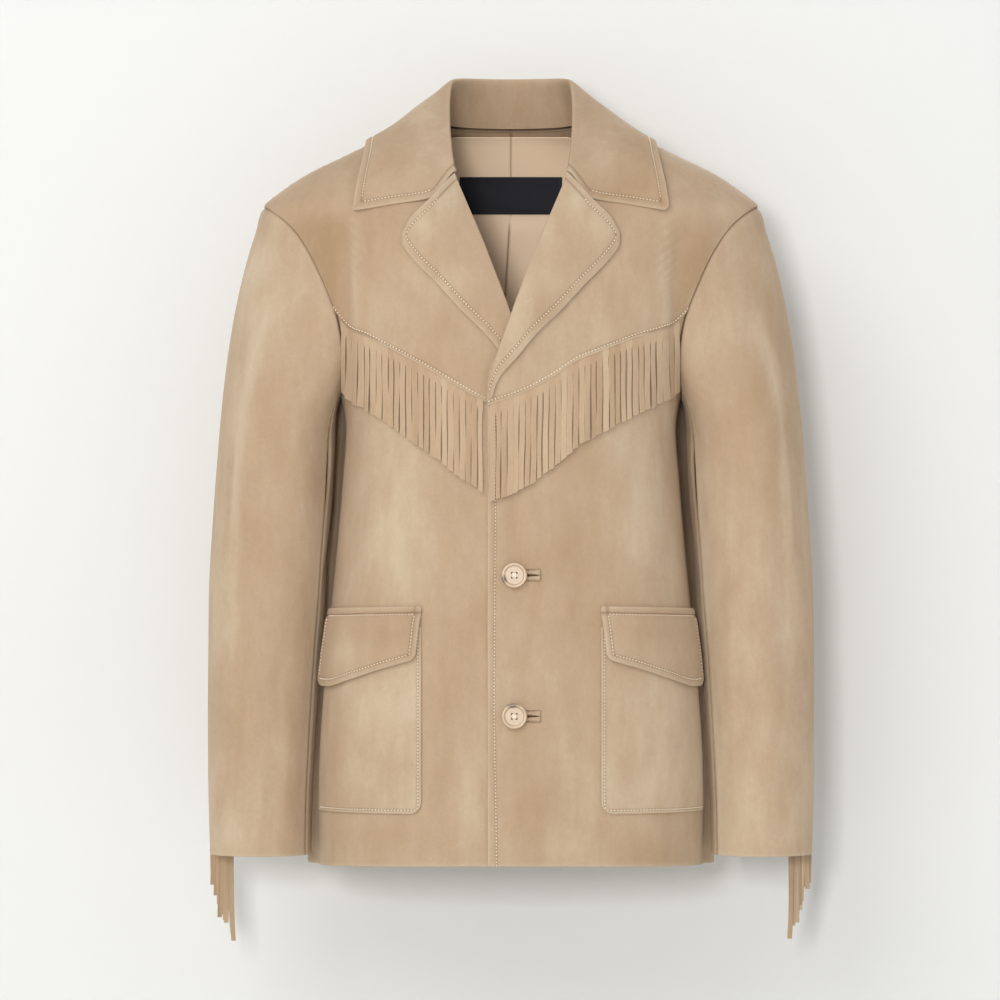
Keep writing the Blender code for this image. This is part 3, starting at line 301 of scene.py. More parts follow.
# Lines on the front, as x and z on the wearer's left
rollLine = [(-0.0220, -0.2450), (-0.0112, -0.2100), (-0.0035, -0.1880), (0.0165, -0.1340),
            (0.0360, -0.0857), (0.0487, -0.0560), (0.0530, -0.0450)]
neckline = [(0.0530, -0.0450), (0.0605, -0.0270), (0.0680, -0.0090), (0.0720, 0.0040)]
lapelTop = [(0.0530, -0.0450), (0.0730, -0.0695), (0.0925, -0.0880), (0.1015, -0.1015)]
lapelEdge = [(0.1015, -0.1015), (0.1012, -0.1105), (0.0935, -0.1235), (0.0695, -0.1487),
             (0.0480, -0.1724), (0.0233, -0.1970), (0.0075, -0.2160), (-0.0121, -0.2399),
             (-0.0175, -0.2555)]
yokeSeams = {1: [(-0.0220, -0.2620), (0.0140, -0.2492), (0.0391, -0.2353), (0.0614, -0.2204),
                 (0.0818, -0.2120), (0.1153, -0.1985), (0.1507, -0.1860)],
             -1: [(-0.0220, -0.2750), (0.0223, -0.2594), (0.0512, -0.2436), (0.0763, -0.2287),
                  (0.1030, -0.2138), (0.1330, -0.1975), (0.1490, -0.1900)]}
layers = {"yoke": 0.0024, "frontStep": 0.0024, "lapelStep": 0.0048}


# Height of the yoke seam at x
def yokeSeamHeight(x, side):
    end = torsoBase(*armhole(armholeTurn(body["yokeEndZ"])))
    knots = yokeSeams[side] + [(end[0], end[2])]
    return smoothThrough([k[0] for k in knots], [k[1] for k in knots], x)


# Rise of a front over the torso: the wearer's left front laps over the right one
def frontLift(x, z, side):
    if side < 0:
        return np.zeros(np.broadcast(x, z).shape)
    lap = layers["frontStep"] * (1.0 - rise(0.030, 0.075, x))
    overLapel = layers["lapelStep"] * (1.0 - rise(0.006, 0.045, x))
    return lap + overLapel * rise(-0.325, -0.268, z)


# Rise of a yoke: it laps over the front at its seam and sinks level above it
def yokeLift(x, z, side):
    above = z - yokeSeamHeight(x, side)
    return frontLift(x, z, side) + layers["yoke"] * (1.0 - rise(0.020, 0.080, above))


# Places along a length, in metres, crowded near each end that has a rim
def stations(length, startRim=True, endRim=True, coarse=0.0045):
    rim = np.array([0.0, 0.15, 0.4, 0.8, 1.3, 2.0, 3.0, 4.0, 5.0, 6.0, 7.0, 8.0, 9.0, 10.5, 12.5,
                    15.0, 18.0]) * 1e-3
    start = rim if startRim else rim[:1]
    end = length - (rim if endRim else rim[:1])[::-1]
    count = max(int(math.ceil((end[0] - start[-1]) / coarse)), 1)
    middle = np.linspace(start[-1], end[0], count + 1)[1:-1]
    return np.concatenate([start, middle, end]) / length


# Sink of a rounded rim: r (1 - sqrt(1 - (1 - d / r)^2)) at a distance d from the edge
def rimSink(distance, radius):
    near = np.clip(1.0 - distance / radius, 0.0, 1.0)
    return radius * (1.0 - np.sqrt(1.0 - near ** 2))


sewing = {"roll": 0.00030, "seamDepth": 0.00095, "ease": 0.00045, "pucker": 0.00022, "groove": 0.00070}


# Offsets of the two faces and the marks of a panel, from the kind of each border
def finishEdges(distances, kinds, cloth, stitchAt=None, phase=0.0):
    shape = next(iter(distances.values())).shape
    outer, inner, edge, seam = (np.zeros(shape) for _ in range(4))
    sewn = np.full(shape, 1.0)
    for border, kind in kinds.items():
        d = distances[border]
        lengthways = distances["bottom" if border in ("left", "right") else "left"]
        pucker = ripple(lengthways, d, [(900, 120, phase, 0.5), (560, -90, 1.7 + phase, 0.5)])
        if kind == "fold":
            sink = rimSink(d, 0.5 * cloth)
            outer = outer - sink + sewing["roll"] * bell(d - 0.0030, 0.0022)
            inner = inner + sink
            edge = np.maximum(edge, bell(d, 0.0022))
        if kind == "seam":
            outer = outer - sewing["seamDepth"] * bell(d, 0.0013) + sewing["ease"] * bell(d - 0.0045, 0.0030)
            outer = outer + sewing["pucker"] * pucker * bell(d - 0.0050, 0.0045)
            seam = np.maximum(seam, bell(d, 0.0016))
        at = (stitchAt or {}).get(border)
        if at:
            outer = outer + 0.00014 * pucker * bell(d - at, 0.0050)
            sewn = np.minimum(sewn, d - at)
    outer = outer - sewing["groove"] * bell(sewn, 0.0010)
    seam = np.maximum(seam, 0.80 * bell(sewn, 0.0011))
    return outer, inner, edge, seam


# Lift of listed creases: height * exp(-(d / width)^2), tapered to both ends of a line
def creaseLift(a, b, creases):
    total = np.zeros(np.broadcast(a, b).shape)
    for a0, b0, a1, b1, width, height in creases:
        reach = math.hypot(a1 - a0, b1 - b0)
        share = ((a - a0) * (a1 - a0) + (b - b0) * (b1 - b0)) / reach ** 2
        off = ((a - a0) * (b1 - b0) - (b - b0) * (a1 - a0)) / reach
        total = total + height * bell(off, width) * rise(-0.15, 0.35, share) * rise(1.15, 0.65, share)
    return total


# Soft pale or dark patches: one stretched bell for each row of place, size and strength
def patches(a, b, spots):
    total = np.zeros(np.broadcast(a, b).shape)
    for a0, b0, sizeA, sizeB, strength in spots:
        total = total + strength * np.exp(-((a - a0) / sizeA) ** 2 - ((b - b0) / sizeB) ** 2)
    return total


# Path over a grid at a fixed distance from one border, with its normals
def pathAt(points, normals, distance, at, border):
    if border in ("bottom", "top"):
        points, normals = points.transpose(1, 0, 2), normals.transpose(1, 0, 2)
        distance = distance.T
    if border in ("right", "top"):
        points, normals, distance = points[:, ::-1], normals[:, ::-1], distance[:, ::-1]
    after = np.clip(np.argmax(distance >= at, axis=1), 1, distance.shape[1] - 1)
    row = np.arange(len(points))
    low, high = distance[row, after - 1], distance[row, after]
    share = np.clip((at - low) / np.maximum(high - low, 1e-9), 0.0, 1.0)[:, None]
    place = (1 - share) * points[row, after - 1] + share * points[row, after]
    normal = (1 - share) * normals[row, after - 1] + share * normals[row, after]
    return place, normal


stitchParts = []
thread = {"pitch": 0.0032, "length": 0.0017, "radius": 0.00050, "height": 0.00046}


# Row of stitches on a path: each is an arched four-sided thread, height h (1 - t^2)
def stitchRow(path, normals, start=0.0, end=1.0):
    lengths = np.linalg.norm(np.diff(path, axis=0), axis=1)
    travelled = np.concatenate(([0.0], np.cumsum(lengths)))
    total = travelled[-1]
    count = int((end - start) * total / thread["pitch"])
    if count < 1:
        return
    middle = start * total + (np.arange(count) + 0.5) * thread["pitch"]
    place = np.stack([np.interp(middle, travelled, column) for column in path.T], -1)
    ahead = np.stack([np.interp(middle + 0.001, travelled, column) for column in path.T], -1)
    behind = np.stack([np.interp(middle - 0.001, travelled, column) for column in path.T], -1)
    tangent = ahead - behind
    tangent /= np.maximum(np.linalg.norm(tangent, axis=-1, keepdims=True), 1e-12)
    normal = np.stack([np.interp(middle, travelled, column) for column in normals.T], -1)
    normal -= tangent * np.sum(normal * tangent, -1, keepdims=True)
    normal /= np.maximum(np.linalg.norm(normal, axis=-1, keepdims=True), 1e-12)
    sideways = np.cross(normal, tangent)
    t = np.array([-1.0, -0.72, 0.0, 0.72, 1.0])
    thick = thread["radius"] * np.array([0.55, 0.9, 1.0, 0.9, 0.55])
    corner = np.array([(1, 0), (0, 1), (-1, 0), (0, -1)], float)
    points = (place[:, None, None]
              + tangent[:, None, None] * (t * thread["length"] / 2)[None, :, None, None]
              + normal[:, None, None] * (thread["height"] * (1 - t ** 2) - 0.00015)[None, :, None, None]
              + sideways[:, None, None] * (thick[:, None] * corner[:, 0])[None, :, :, None]
              + normal[:, None, None] * (thick[:, None] * corner[:, 1])[None, :, :, None])
    ring = np.arange(4)
    nextRing = (ring + 1) % 4
    faces = [np.stack([ring + 4 * k, nextRing + 4 * k, nextRing + 4 * k + 4, ring + 4 * k + 4], -1)
             for k in range(4)]
    faces = np.concatenate(faces + [np.array([[3, 2, 1, 0], [16, 17, 18, 19]])])
    faces = (faces[None] + 20 * np.arange(count)[:, None, None]).reshape(-1, 4)
    stitchParts.append((points.reshape(-1, 3), faces))


suedePieces = {}
bodyCreases = {
    1: [(0.030, -0.560, 0.022, -0.690, 0.012, 0.0009), (0.064, -0.400, 0.070, -0.620, 0.022, -0.0010),
        (0.110, -0.300, 0.128, -0.440, 0.020, 0.0014), (0.140, -0.330, 0.150, -0.450, 0.010, -0.0012),
        (0.050, -0.300, 0.120, -0.345, 0.016, 0.0008), (0.125, -0.125, 0.118, -0.175, 0.012, 0.0007),
        (0.088, -0.655, 0.092, -0.700, 0.014, -0.0008), (0.140, -0.640, 0.136, -0.705, 0.012, 0.0010)],
    -1: [(0.045, -0.600, 0.036, -0.700, 0.013, 0.0016), (0.062, -0.560, 0.055, -0.690, 0.013, -0.0014),
         (0.070, -0.330, 0.080, -0.460, 0.020, -0.0010), (0.120, -0.300, 0.132, -0.440, 0.018, 0.0013),
         (0.140, -0.320, 0.152, -0.440, 0.010, -0.0011), (0.045, -0.330, 0.100, -0.380, 0.015, 0.0007),
         (0.120, -0.120, 0.128, -0.180, 0.012, 0.0008), (0.095, -0.645, 0.100, -0.705, 0.014, 0.0009)]}
bodyPatches = {
    # pale spots above 0 and darker ones below 0; the last row of each side is painted shade on the side of the chest
    # beyond its crease
    1: [(0.085, -0.085, 0.016, 0.030, -0.5), (0.125, -0.120, 0.020, 0.035, -0.7),
        (0.050, -0.240, 0.020, 0.018, 0.25), (0.095, -0.165, 0.022, 0.022, -0.4),
        (0.125, -0.370, 0.022, 0.050, 0.55), (0.090, -0.330, 0.018, 0.020, -0.3),
        (0.050, -0.420, 0.022, 0.040, -0.35), (0.030, -0.630, 0.030, 0.020, -0.35),
        (0.060, -0.675, 0.030, 0.016, 0.3), (0.120, -0.680, 0.030, 0.014, -0.45),
        (0.150, -0.410, 0.010, 0.040, 0.5), (0.030, -0.330, 0.012, 0.022, 0.4),
        (0.176, -0.140, 0.021, 0.085, -0.6)],
    -1: [(0.110, -0.100, 0.018, 0.040, -0.6), (0.140, -0.110, 0.010, 0.050, -0.5),
         (0.085, -0.140, 0.020, 0.020, 0.35), (0.060, -0.190, 0.018, 0.018, -0.4),
         (0.050, -0.350, 0.022, 0.050, -0.35), (0.100, -0.400, 0.025, 0.040, 0.3),
         (0.055, -0.520, 0.020, 0.050, -0.4), (0.042, -0.640, 0.012, 0.060, 0.55),
         (0.066, -0.600, 0.014, 0.050, -0.35), (0.085, -0.690, 0.034, 0.014, 0.35),
         (0.130, -0.665, 0.030, 0.014, -0.4), (0.030, -0.300, 0.014, 0.030, -0.3),
         (0.176, -0.140, 0.021, 0.085, -0.7)]}


# Creases and nap patches of each half of the back, in the same columns
backCreases = [(0.070, -0.160, 0.045, -0.330, 0.022, -0.0016), (0.120, -0.200, 0.100, -0.330, 0.018, 0.0016),
               (0.110, -0.420, 0.118, -0.640, 0.024, 0.0018), (0.050, -0.400, 0.060, -0.660, 0.022, -0.0014),
               (0.150, -0.230, 0.120, -0.300, 0.012, -0.0010), (0.030, -0.060, 0.090, -0.100, 0.018, 0.0009)]
backSpots = [(0.080, -0.120, 0.030, 0.040, -0.5), (0.060, -0.300, 0.030, 0.060, 0.4),
             (0.110, -0.450, 0.030, 0.060, -0.4), (0.050, -0.600, 0.030, 0.040, 0.4),
             (0.130, -0.640, 0.030, 0.030, -0.4), (0.040, -0.180, 0.020, 0.030, 0.3)]


# Closed suede panel from a grid of angles and heights on the torso
def torsoPanel(name, grid, liftOf, side, kinds, shade, stitchAt=None, nodes=(), creases=(), spots=()):
    phi, z = grid[..., 0], grid[..., 1]
    base = torsoBase(phi, z)
    lift = liftOf(base[..., 0], z) + creaseLift(base[..., 0], z, creases)
    plain = torso(phi, z, lift)
    distances = borderDistances(plain)
    outer, inner, edge, seam = finishEdges(distances, kinds, body["cloth"], stitchAt, side * 1.3 + z[0, 0])
    face = torso(phi, z, lift + outer, side)
    hidden = torso(phi, z, lift + inner - body["cloth"], side)
    patchesAndPaintedLight = patches(base[..., 0], z, spots)
    # on the yokes and fronts: a painted highlight just inside the chest crease and painted shade on the side beyond it
    if "back" not in name:
        past = base[..., 0] - body["creaseX"]
        reach = rise(-0.075, -0.100, z) * rise(-0.300, -0.250, z)
        patchesAndPaintedLight = patchesAndPaintedLight + reach * (0.50 * bell(past + 0.0065, 0.0045) - 0.65 * rise(-0.0050, 0.0005, past))
    marks = {"edgeWear": edge, "seamShade": seam, "napAndPaintedLight": patchesAndPaintedLight, "shade": shade}
    outward = torsoOutward(phi, z, lift + outer, side, face)
    stitchBorders(face, outward, distances, [(*row, 0.0, 1.0) for row in (stitchAt or {}).items()])
    keepSuede(name, face, hidden, distances, marks, plain, nodes)


# Outward directions over a face of the torso: the way to the same place lifted a little more
def torsoOutward(phi, z, lift, side, face):
    return (torso(phi, z, lift + body["probe"], side) - face) / body["probe"]


# Rows of stitches on a face, each by its border, its distance from it, its start and its end
def stitchBorders(face, normals, distances, rows):
    for border, at, start, end in rows:
        path, pathNormals = pathAt(face, normals, distances[border], at, border)
        stitchRow(path, pathNormals, start, end)


# Suede shell kept by name, with the area of its flat cloth and the solids that it stands for
def keepSuede(name, face, hidden, distances, marks, flat, nodes):
    uv = np.stack([distances["left"], distances["bottom"]], -1)
    mesh = shellMesh(name, face, hidden, None, marks, uv)
    suedePieces[name] = (mesh, float(cellAreas(flat).sum()), nodes)
    print(name, len(mesh.vertices), "points")


# Area of each cell of a grid, half the length of the cross product of its diagonals
def cellAreas(points):
    first = points[1:, 1:] - points[:-1, :-1]
    second = points[1:, :-1] - points[:-1, 1:]
    return 0.5 * np.linalg.norm(np.cross(first, second), axis=-1)


# Patch on the torso between four lines of angles and heights
def torsoPatch(bottom, top, left, right, width, height, rims=(True, True, True, True), coarse=0.0045):
    across = stations(width, rims[0], rims[1], coarse)
    upward = stations(height, rims[2], rims[3])
    return patch(bottom, top, left, right, across, upward)


shoulderAngle = np.pi / 2.0
for word, side in (("left", 1), ("right", -1)):
    # yoke: from the roll line and neck seam to the armhole, its lower edge lapped and stitched
    armEdge = armhole(np.linspace(armholeTurn(body["yokeEndZ"]), np.pi / 2.0, 30))
    seamLine = np.concatenate([onTorso(yokeSeams[side]), armEdge[:1]])
    drop = np.array([0.0, 0.0022])
    shoulder = np.stack([np.full(20, shoulderAngle),
                         np.linspace(body["neckPointZ"], armEdge[-1, 1], 20)], -1)
    inner = np.concatenate([seamLine[:1] - drop, onTorso(rollLine + neckline[1:]), shoulder[:1]])
    lowered = seamLine - drop
    lowered[-1] = armEdge[0]
    grid = torsoPatch(lowered, shoulder, inner, armEdge, 0.19, 0.20, (False, True, True, True), 0.0022)
    torsoPanel(f"yoke_{word}_suede", grid, lambda x, z: yokeLift(x, z, side), side,
               {"bottom": "fold", "right": "seam", "top": "seam"}, 0.15 * side,
               {"bottom": 0.0042}, (f"yoke_{word}",), bodyCreases[side], bodyPatches[side])

    # front: from the yoke seam to the hem and from the front edge to the side seam
    turns = np.linspace(armholeTurn(body["yokeEndZ"]), -np.pi / 2.0, 30)
    armEdge = armhole(turns)
    armEdge[-1, 0] = shoulderAngle
    right = np.concatenate([armEdge, [[shoulderAngle, hemHeight(shoulderAngle)]]])[::-1]
    edgeZ = np.linspace(hemHeight(0.0), yokeSeams[side][0][1], 60)
    left = onTorso(np.stack([np.full(60, -body["overlap"]), edgeZ], -1))
    footPhi = np.linspace(left[0, 0], shoulderAngle, 60)
    bottom = np.stack([footPhi, hemHeight(footPhi)], -1)
    grid = torsoPatch(bottom, seamLine, left, right, 0.22, 0.46, (True, True, True, False), 0.0022)
    torsoPanel(f"front_{word}_suede", grid, lambda x, z: frontLift(x, z, side), side,
               {"left": "fold", "right": "seam", "bottom": "fold"}, -0.2 + 0.1 * side,
               {"left": 0.0082} if side > 0 else {}, (f"front_{word}",),
               bodyCreases[side], bodyPatches[side])

    # half of the back: from the centre seam to the side seam and from the shoulder to the hem
    turns = np.linspace(-np.pi / 2.0, -1.5 * np.pi, 40)
    armEdge = armhole(turns)
    armEdge[0, 0] = armEdge[-1, 0] = shoulderAngle
    right = np.concatenate([[[shoulderAngle, hemHeight(shoulderAngle)]], armEdge])
    neck = np.array([(np.pi, body["napeZ"]), (2.618, 0.0048), (2.094, 0.0078),
                     (shoulderAngle, body["neckPointZ"])])
    shoulder = np.stack([np.full(24, shoulderAngle),
                         np.linspace(body["neckPointZ"], armEdge[-1, 1], 24)], -1)
    top = np.concatenate([along(neck, np.linspace(0, 1, 24)), shoulder[1:]])
    left = np.stack([np.full(60, np.pi), np.linspace(hemHeight(np.pi), body["napeZ"], 60)], -1)
    footPhi = np.linspace(np.pi, shoulderAngle, 60)
    bottom = np.stack([footPhi, hemHeight(footPhi)], -1)
    grid = torsoPatch(bottom, top, left, right, 0.25, 0.70, (True, True, True, True))
    torsoPanel(f"back_{word}_suede", grid, lambda x, z: np.zeros(x.shape), side,
               {"left": "seam", "right": "seam", "bottom": "fold", "top": "seam"}, 0.1 - 0.1 * side,
               {}, (f"back_{word}",), backCreases, backSpots)


# Sleeves: level ovals down the arm, joined to the armhole by a swept cap
sleeveRows = np.array([
    # z, centre x, centre y, half width, half depth
    (-0.686, 0.2367, -0.026, 0.0478, 0.0480), (-0.640, 0.2370, -0.023, 0.0490, 0.0500),
    (-0.580, 0.2360, -0.018, 0.0510, 0.0530), (-0.500, 0.2335, -0.011, 0.0535, 0.0570),
    (-0.420, 0.2300, -0.004, 0.0560, 0.0620), (-0.360, 0.2262, 0.000, 0.0562, 0.0660),
    (-0.300, 0.2225, 0.002, 0.0555, 0.0700)])
sleeve = {"frontSeam": math.radians(-64), "backSeam": math.radians(146),
          "headOut": 0.34, "headDown": 0.85, "meanRadius": 0.055}
sleeveCreases = [
    # turn, z, turn, z, width, height: long soft drapes, then short ones at the elbow and the armhole
    (0.35, -0.220, 0.75, -0.420, 0.20, 0.0016), (1.20, -0.160, 1.15, -0.330, 0.22, -0.0010),
    (-0.20, -0.230, -0.05, -0.420, 0.12, -0.0022), (0.12, -0.420, 0.20, -0.660, 0.16, 0.0014),
    (-0.32, -0.470, -0.28, -0.660, 0.12, -0.0018), (0.75, -0.480, 0.70, -0.640, 0.20, -0.0011),
    (2.10, -0.260, 1.90, -0.480, 0.24, 0.0018), (2.30, -0.420, 2.25, -0.600, 0.18, -0.0016),
    (3.40, -0.300, 3.60, -0.420, 0.30, -0.0022), (3.90, -0.330, 4.40, -0.400, 0.24, 0.0026),
    (4.50, -0.360, 5.00, -0.450, 0.22, -0.0022), (5.00, -0.290, 5.40, -0.380, 0.20, 0.0020),
    (3.60, -0.500, 3.70, -0.650, 0.25, 0.0016), (5.30, -0.480, 5.35, -0.620, 0.20, -0.0014)]
sleeveSpots = [
    # painted light on the inner side of both halves, a pale streak down the outer front, a paler cuff, darker clouds
    (-1.10, -0.50, 0.30, 0.30, 0.9), (5.18, -0.50, 0.30, 0.30, 0.9),
    (0.66, -0.225, 0.13, 0.055, 0.95), (0.62, -0.330, 0.09, 0.075, 0.85),
    (0.55, -0.450, 0.12, 0.060, 0.40), (0.20, -0.260, 0.30, 0.060, -0.35),
    (0.10, -0.470, 0.25, 0.060, -0.40), (0.40, -0.350, 0.20, 0.050, -0.25),
    (1.30, -0.620, 0.30, 0.040, 0.45), (0.50, -0.665, 0.50, 0.015, 0.30),
    (1.60, -0.330, 0.30, 0.080, -0.40), (2.30, -0.200, 0.35, 0.060, -0.40),
    (2.10, -0.450, 0.30, 0.070, 0.40), (4.00, -0.350, 0.50, 0.060, -0.40),
    (4.60, -0.560, 0.50, 0.070, 0.30), (1.20, -0.130, 0.40, 0.022, 0.35)]


# Point of the sleeve below the armhole
def sleeveSection(turn, z):
    x0, y0, halfWidth, halfDepth = (smoothThrough(sleeveRows[:, 0], sleeveRows[:, k], z)
                                    for k in range(1, 5))
    x, y = x0 + halfWidth * np.sin(turn), y0 - halfDepth * np.cos(turn)
    return np.stack(np.broadcast_arrays(x, y, z), axis=-1)


# Grid of the sleeve from cuff to armhole: ovals, then cubic paths that leave both ends in line
def sleeveSurface(turns, armShares, capShares):
    topZ, cuffZ = sleeveRows[-1, 0], sleeveRows[0, 0]
    arm = sleeveSection(turns[None, :], (cuffZ + armShares * (topZ - cuffZ))[:, None])
    end = arm[-1]
    down = sleeveSection(turns, topZ - 0.01) - sleeveSection(turns, topZ)
    down /= np.linalg.norm(down, axis=-1, keepdims=True)
    seam = armhole(turns)
    root = torso(seam[:, 0], seam[:, 1])
    away = np.array([sleeve["headOut"], 0.0, -sleeve["headDown"]])
    away /= np.linalg.norm(away)
    reach = np.linalg.norm(end - root, axis=-1, keepdims=True)
    t = capShares[:, None, None]
    cap = ((1 + 2 * t) * (1 - t) ** 2 * root + t * (1 - t) ** 2 * reach * away
           + t ** 2 * (3 - 2 * t) * end + t ** 2 * (t - 1) * reach * down)
    return np.concatenate([arm, cap[::-1][1:]])


armShares = stations(0.386, True, False, 0.0050)
capShares = stations(0.22, True, False, 0.0050)
for word, side in (("left", 1), ("right", -1)):
    flip = np.array([side, 1.0, 1.0])
    for part, first, last in (("top", sleeve["frontSeam"], sleeve["backSeam"]),
                              ("under", sleeve["backSeam"], sleeve["frontSeam"] + 2 * np.pi)):
        turns = first + (last - first) * stations(0.165, True, True, 0.0048)
        grid = sleeveSurface(turns, armShares, capShares)
        normals = gridNormals(grid)
        distances = borderDistances(grid)
        outer, inner, edge, seam = finishEdges(
            distances, {"left": "seam", "right": "seam", "bottom": "fold", "top": "seam"},
            body["cloth"], None, first + side)
        turnGrid = np.broadcast_to(turns, grid.shape[:2])
        r = sleeve["meanRadius"]
        drape = creaseLift(turnGrid * r, grid[..., 2],
                           [(a * r, b, c * r, d, w * r, h) for a, b, c, d, w, h in sleeveCreases])
        # a little fullness where the sleeve head is eased into the armhole
        head = 0.0016 * bell(distances["top"] - 0.010, 0.008) * rise(-0.16, -0.09, grid[..., 2])
        keepClear = rise(0.0, 0.035, distances["top"])
        drape = drape * keepClear * rise(0.0, 0.03, distances["bottom"]) + head
        face = (grid + normals * (drape + outer)[..., None]) * flip
        hidden = (grid + normals * (drape + inner - body["cloth"])[..., None]) * flip
        patchesAndPaintedLight = patches(turnGrid, grid[..., 2], sleeveSpots)
        # painted light on the outer side of the right sleeve
        if side < 0:
            patchesAndPaintedLight = patchesAndPaintedLight + 0.55 * bell(turnGrid - 1.15, 0.45)
        marks = {"edgeWear": edge, "seamShade": seam, "napAndPaintedLight": patchesAndPaintedLight,
                 "shade": 0.25 * side - (0.3 if part == "under" else 0.0)}
        node = f"sleeve_{part}_{word}"
        keepSuede(f"{node}_suede", face, hidden, distances, marks, grid, (node,))
print("sleeves made")


# Lapels, folded over the fronts
for word, side, endShare in (("left", 1, 1.0), ("right", -1, 0.82)):
    shares = np.linspace(0.0, endShare, 60)
    roll = along(rollLine[::-1], shares)
    outerEdge = along(lapelEdge, shares)
    across = stations(0.075, False, True, 0.0030)
    upward = stations(0.20, False, True, 0.0030)
    foot = np.stack([roll[-1], outerEdge[-1]])
    flatGrid = patch(foot, lapelTop, roll[::-1], outerEdge[::-1], across, upward)
    x, z = flatGrid[..., 0], flatGrid[..., 1] - 0.0016
    u, v = across[None, :], upward[:, None]
    # the leaf swells off the chest, most where it rolls, and its edge stands a little free
    swell = 0.0060 * v * 4 * u * (1 - u) + 0.0012 * u * v + 0.0010 * u ** 3 * np.sin(5.0 * v) * v
    under = yokeLift(x, z, side) + 0.0008 + swell
    plain = onFront(x, z, under, 1)
    distances = borderDistances(plain)
    thick = 0.0028
    outer, inner, edge, seam = finishEdges(distances, {"right": "fold", "top": "fold"}, thick,
                                           dict.fromkeys(("right", "top"), body["stitchInset"]), side)
    face = onFront(x, z, under + thick + outer, side)
    hidden = onFront(x, z, under + inner, side)
    inset = body["stitchInset"]
    outward = torsoOutward(frontPhi(x, z), z, under + thick + outer, side, face)
    stitchBorders(face, outward, distances, [("right", inset, 0.0, 0.955), ("top", inset, 0.36, 0.895)])
    spots = [(0.060, -0.120, 0.020, 0.025, -0.45), (0.085, -0.100, 0.014, 0.014, 0.5),
             (0.045, -0.150, 0.018, 0.018, 0.35), (0.030, -0.175, 0.012, 0.020, -0.3),
             (0.060, -0.075, 0.010, 0.014, 0.5)]
    marks = {"edgeWear": edge, "seamShade": seam, "napAndPaintedLight": patches(x, z, spots), "shade": 0.2 * side}
    keepSuede(f"lapel_{word}_suede", face, hidden, distances, marks, plain, (f"lapel_{word}",))
print("lapels made")


# Direction of growing distance from a border, in the grid's own values for each metre
def awayFrom(grid, distance, border):
    axis = 1 if border in ("left", "right") else 0
    return np.gradient(grid, axis=axis) / np.gradient(distance, axis=axis)[..., None]


# Round corner: square to disc, a' = a sqrt(1 - b^2 / 2), with a and b the nearness to two borders
def roundCorner(grid, distances, first, second, radius):
    a = np.clip(1.0 - distances[first] / radius, 0.0, 1.0)
    b = np.clip(1.0 - distances[second] / radius, 0.0, 1.0)
    moveA = radius * a * (1.0 - np.sqrt(1.0 - b * b / 2.0))
    moveB = radius * b * (1.0 - np.sqrt(1.0 - a * a / 2.0))
    return (grid + awayFrom(grid, distances[first], first) * moveA[..., None]
            + awayFrom(grid, distances[second], second) * moveB[..., None])


# Collar: one leaf from the neck seam up inside the neck, over the fold and down outside
collarWays = [0.0, 0.30, 0.50, 0.62, 0.78, 0.90, 1.0]
collarLines = {
    "fold": [(0, 0.0740, 0.0525), (0.0420, 0.0560, 0.0520), (0.0575, 0.0230, 0.0480),
             (0.0595, -0.0040, 0.0290), (0.0590, -0.0370, 0.0030), (0.0565, -0.0640, -0.0240),
             (0.0530, -0.0820, -0.0440)],
    "mid": [(0, 0.0960, 0.0250), (0.0590, 0.0760, 0.0270), (0.0830, 0.0320, 0.0290),
            (0.0870, -0.0010, 0.0190), (0.0860, -0.0410, -0.0010), (0.0800, -0.0740, -0.0360),
            (0.0725, -0.0930, -0.0680)],
    "outer": [(0, 0.1150, -0.0240), (0.0830, 0.0960, -0.0190), (0.1330, 0.0330, -0.0120),
              (0.1370, -0.0100, -0.0100), (0.1395, -0.0530, -0.0260), (0.1450, -0.0805, -0.0540),
              (0.1490, -0.0885, -0.0810)]}


# Smooth line of the collar from one front end round the back to the other
def collarLine(field, ways):
    points = collarLines[field]
    knots = [-way for way in collarWays[:0:-1]] + collarWays
    both = np.array([(-x, y, z) for x, y, z in points[:0:-1]] + points, float)
    return np.stack([smoothThrough(knots, both[:, k], ways) for k in range(3)], -1)


# Point of the neck seam by share of the way round to the front
def neckSeam(way):
    front = onTorso(neckline[::-1])
    ways = [0.0, 0.22, 0.45, 0.62, 0.70, 0.78, 0.88, 1.0]
    angles = [np.pi, 2.618, 2.094, shoulderAngle] + list(front[:, 0])
    heights = [0.0040, 0.0048, 0.0078, 0.0100] + list(front[:, 1])
    return torso(smoothThrough(ways, angles, way), smoothThrough(ways, heights, way), -0.0009)


# Bell smoothing of a grid along its columns, both ends held
def smoothColumns(points, reach, width):
    weights = bell(np.arange(-reach, reach + 1), width)
    weights /= weights.sum()
    before = 2 * points[:, :1] - points[:, reach:0:-1]
    after = 2 * points[:, -1:] - points[:, -2:-reach - 2:-1]
    long = np.concatenate([before, points, after], axis=1)
    return sum(weight * long[:, k:k + points.shape[1]] for k, weight in enumerate(weights))


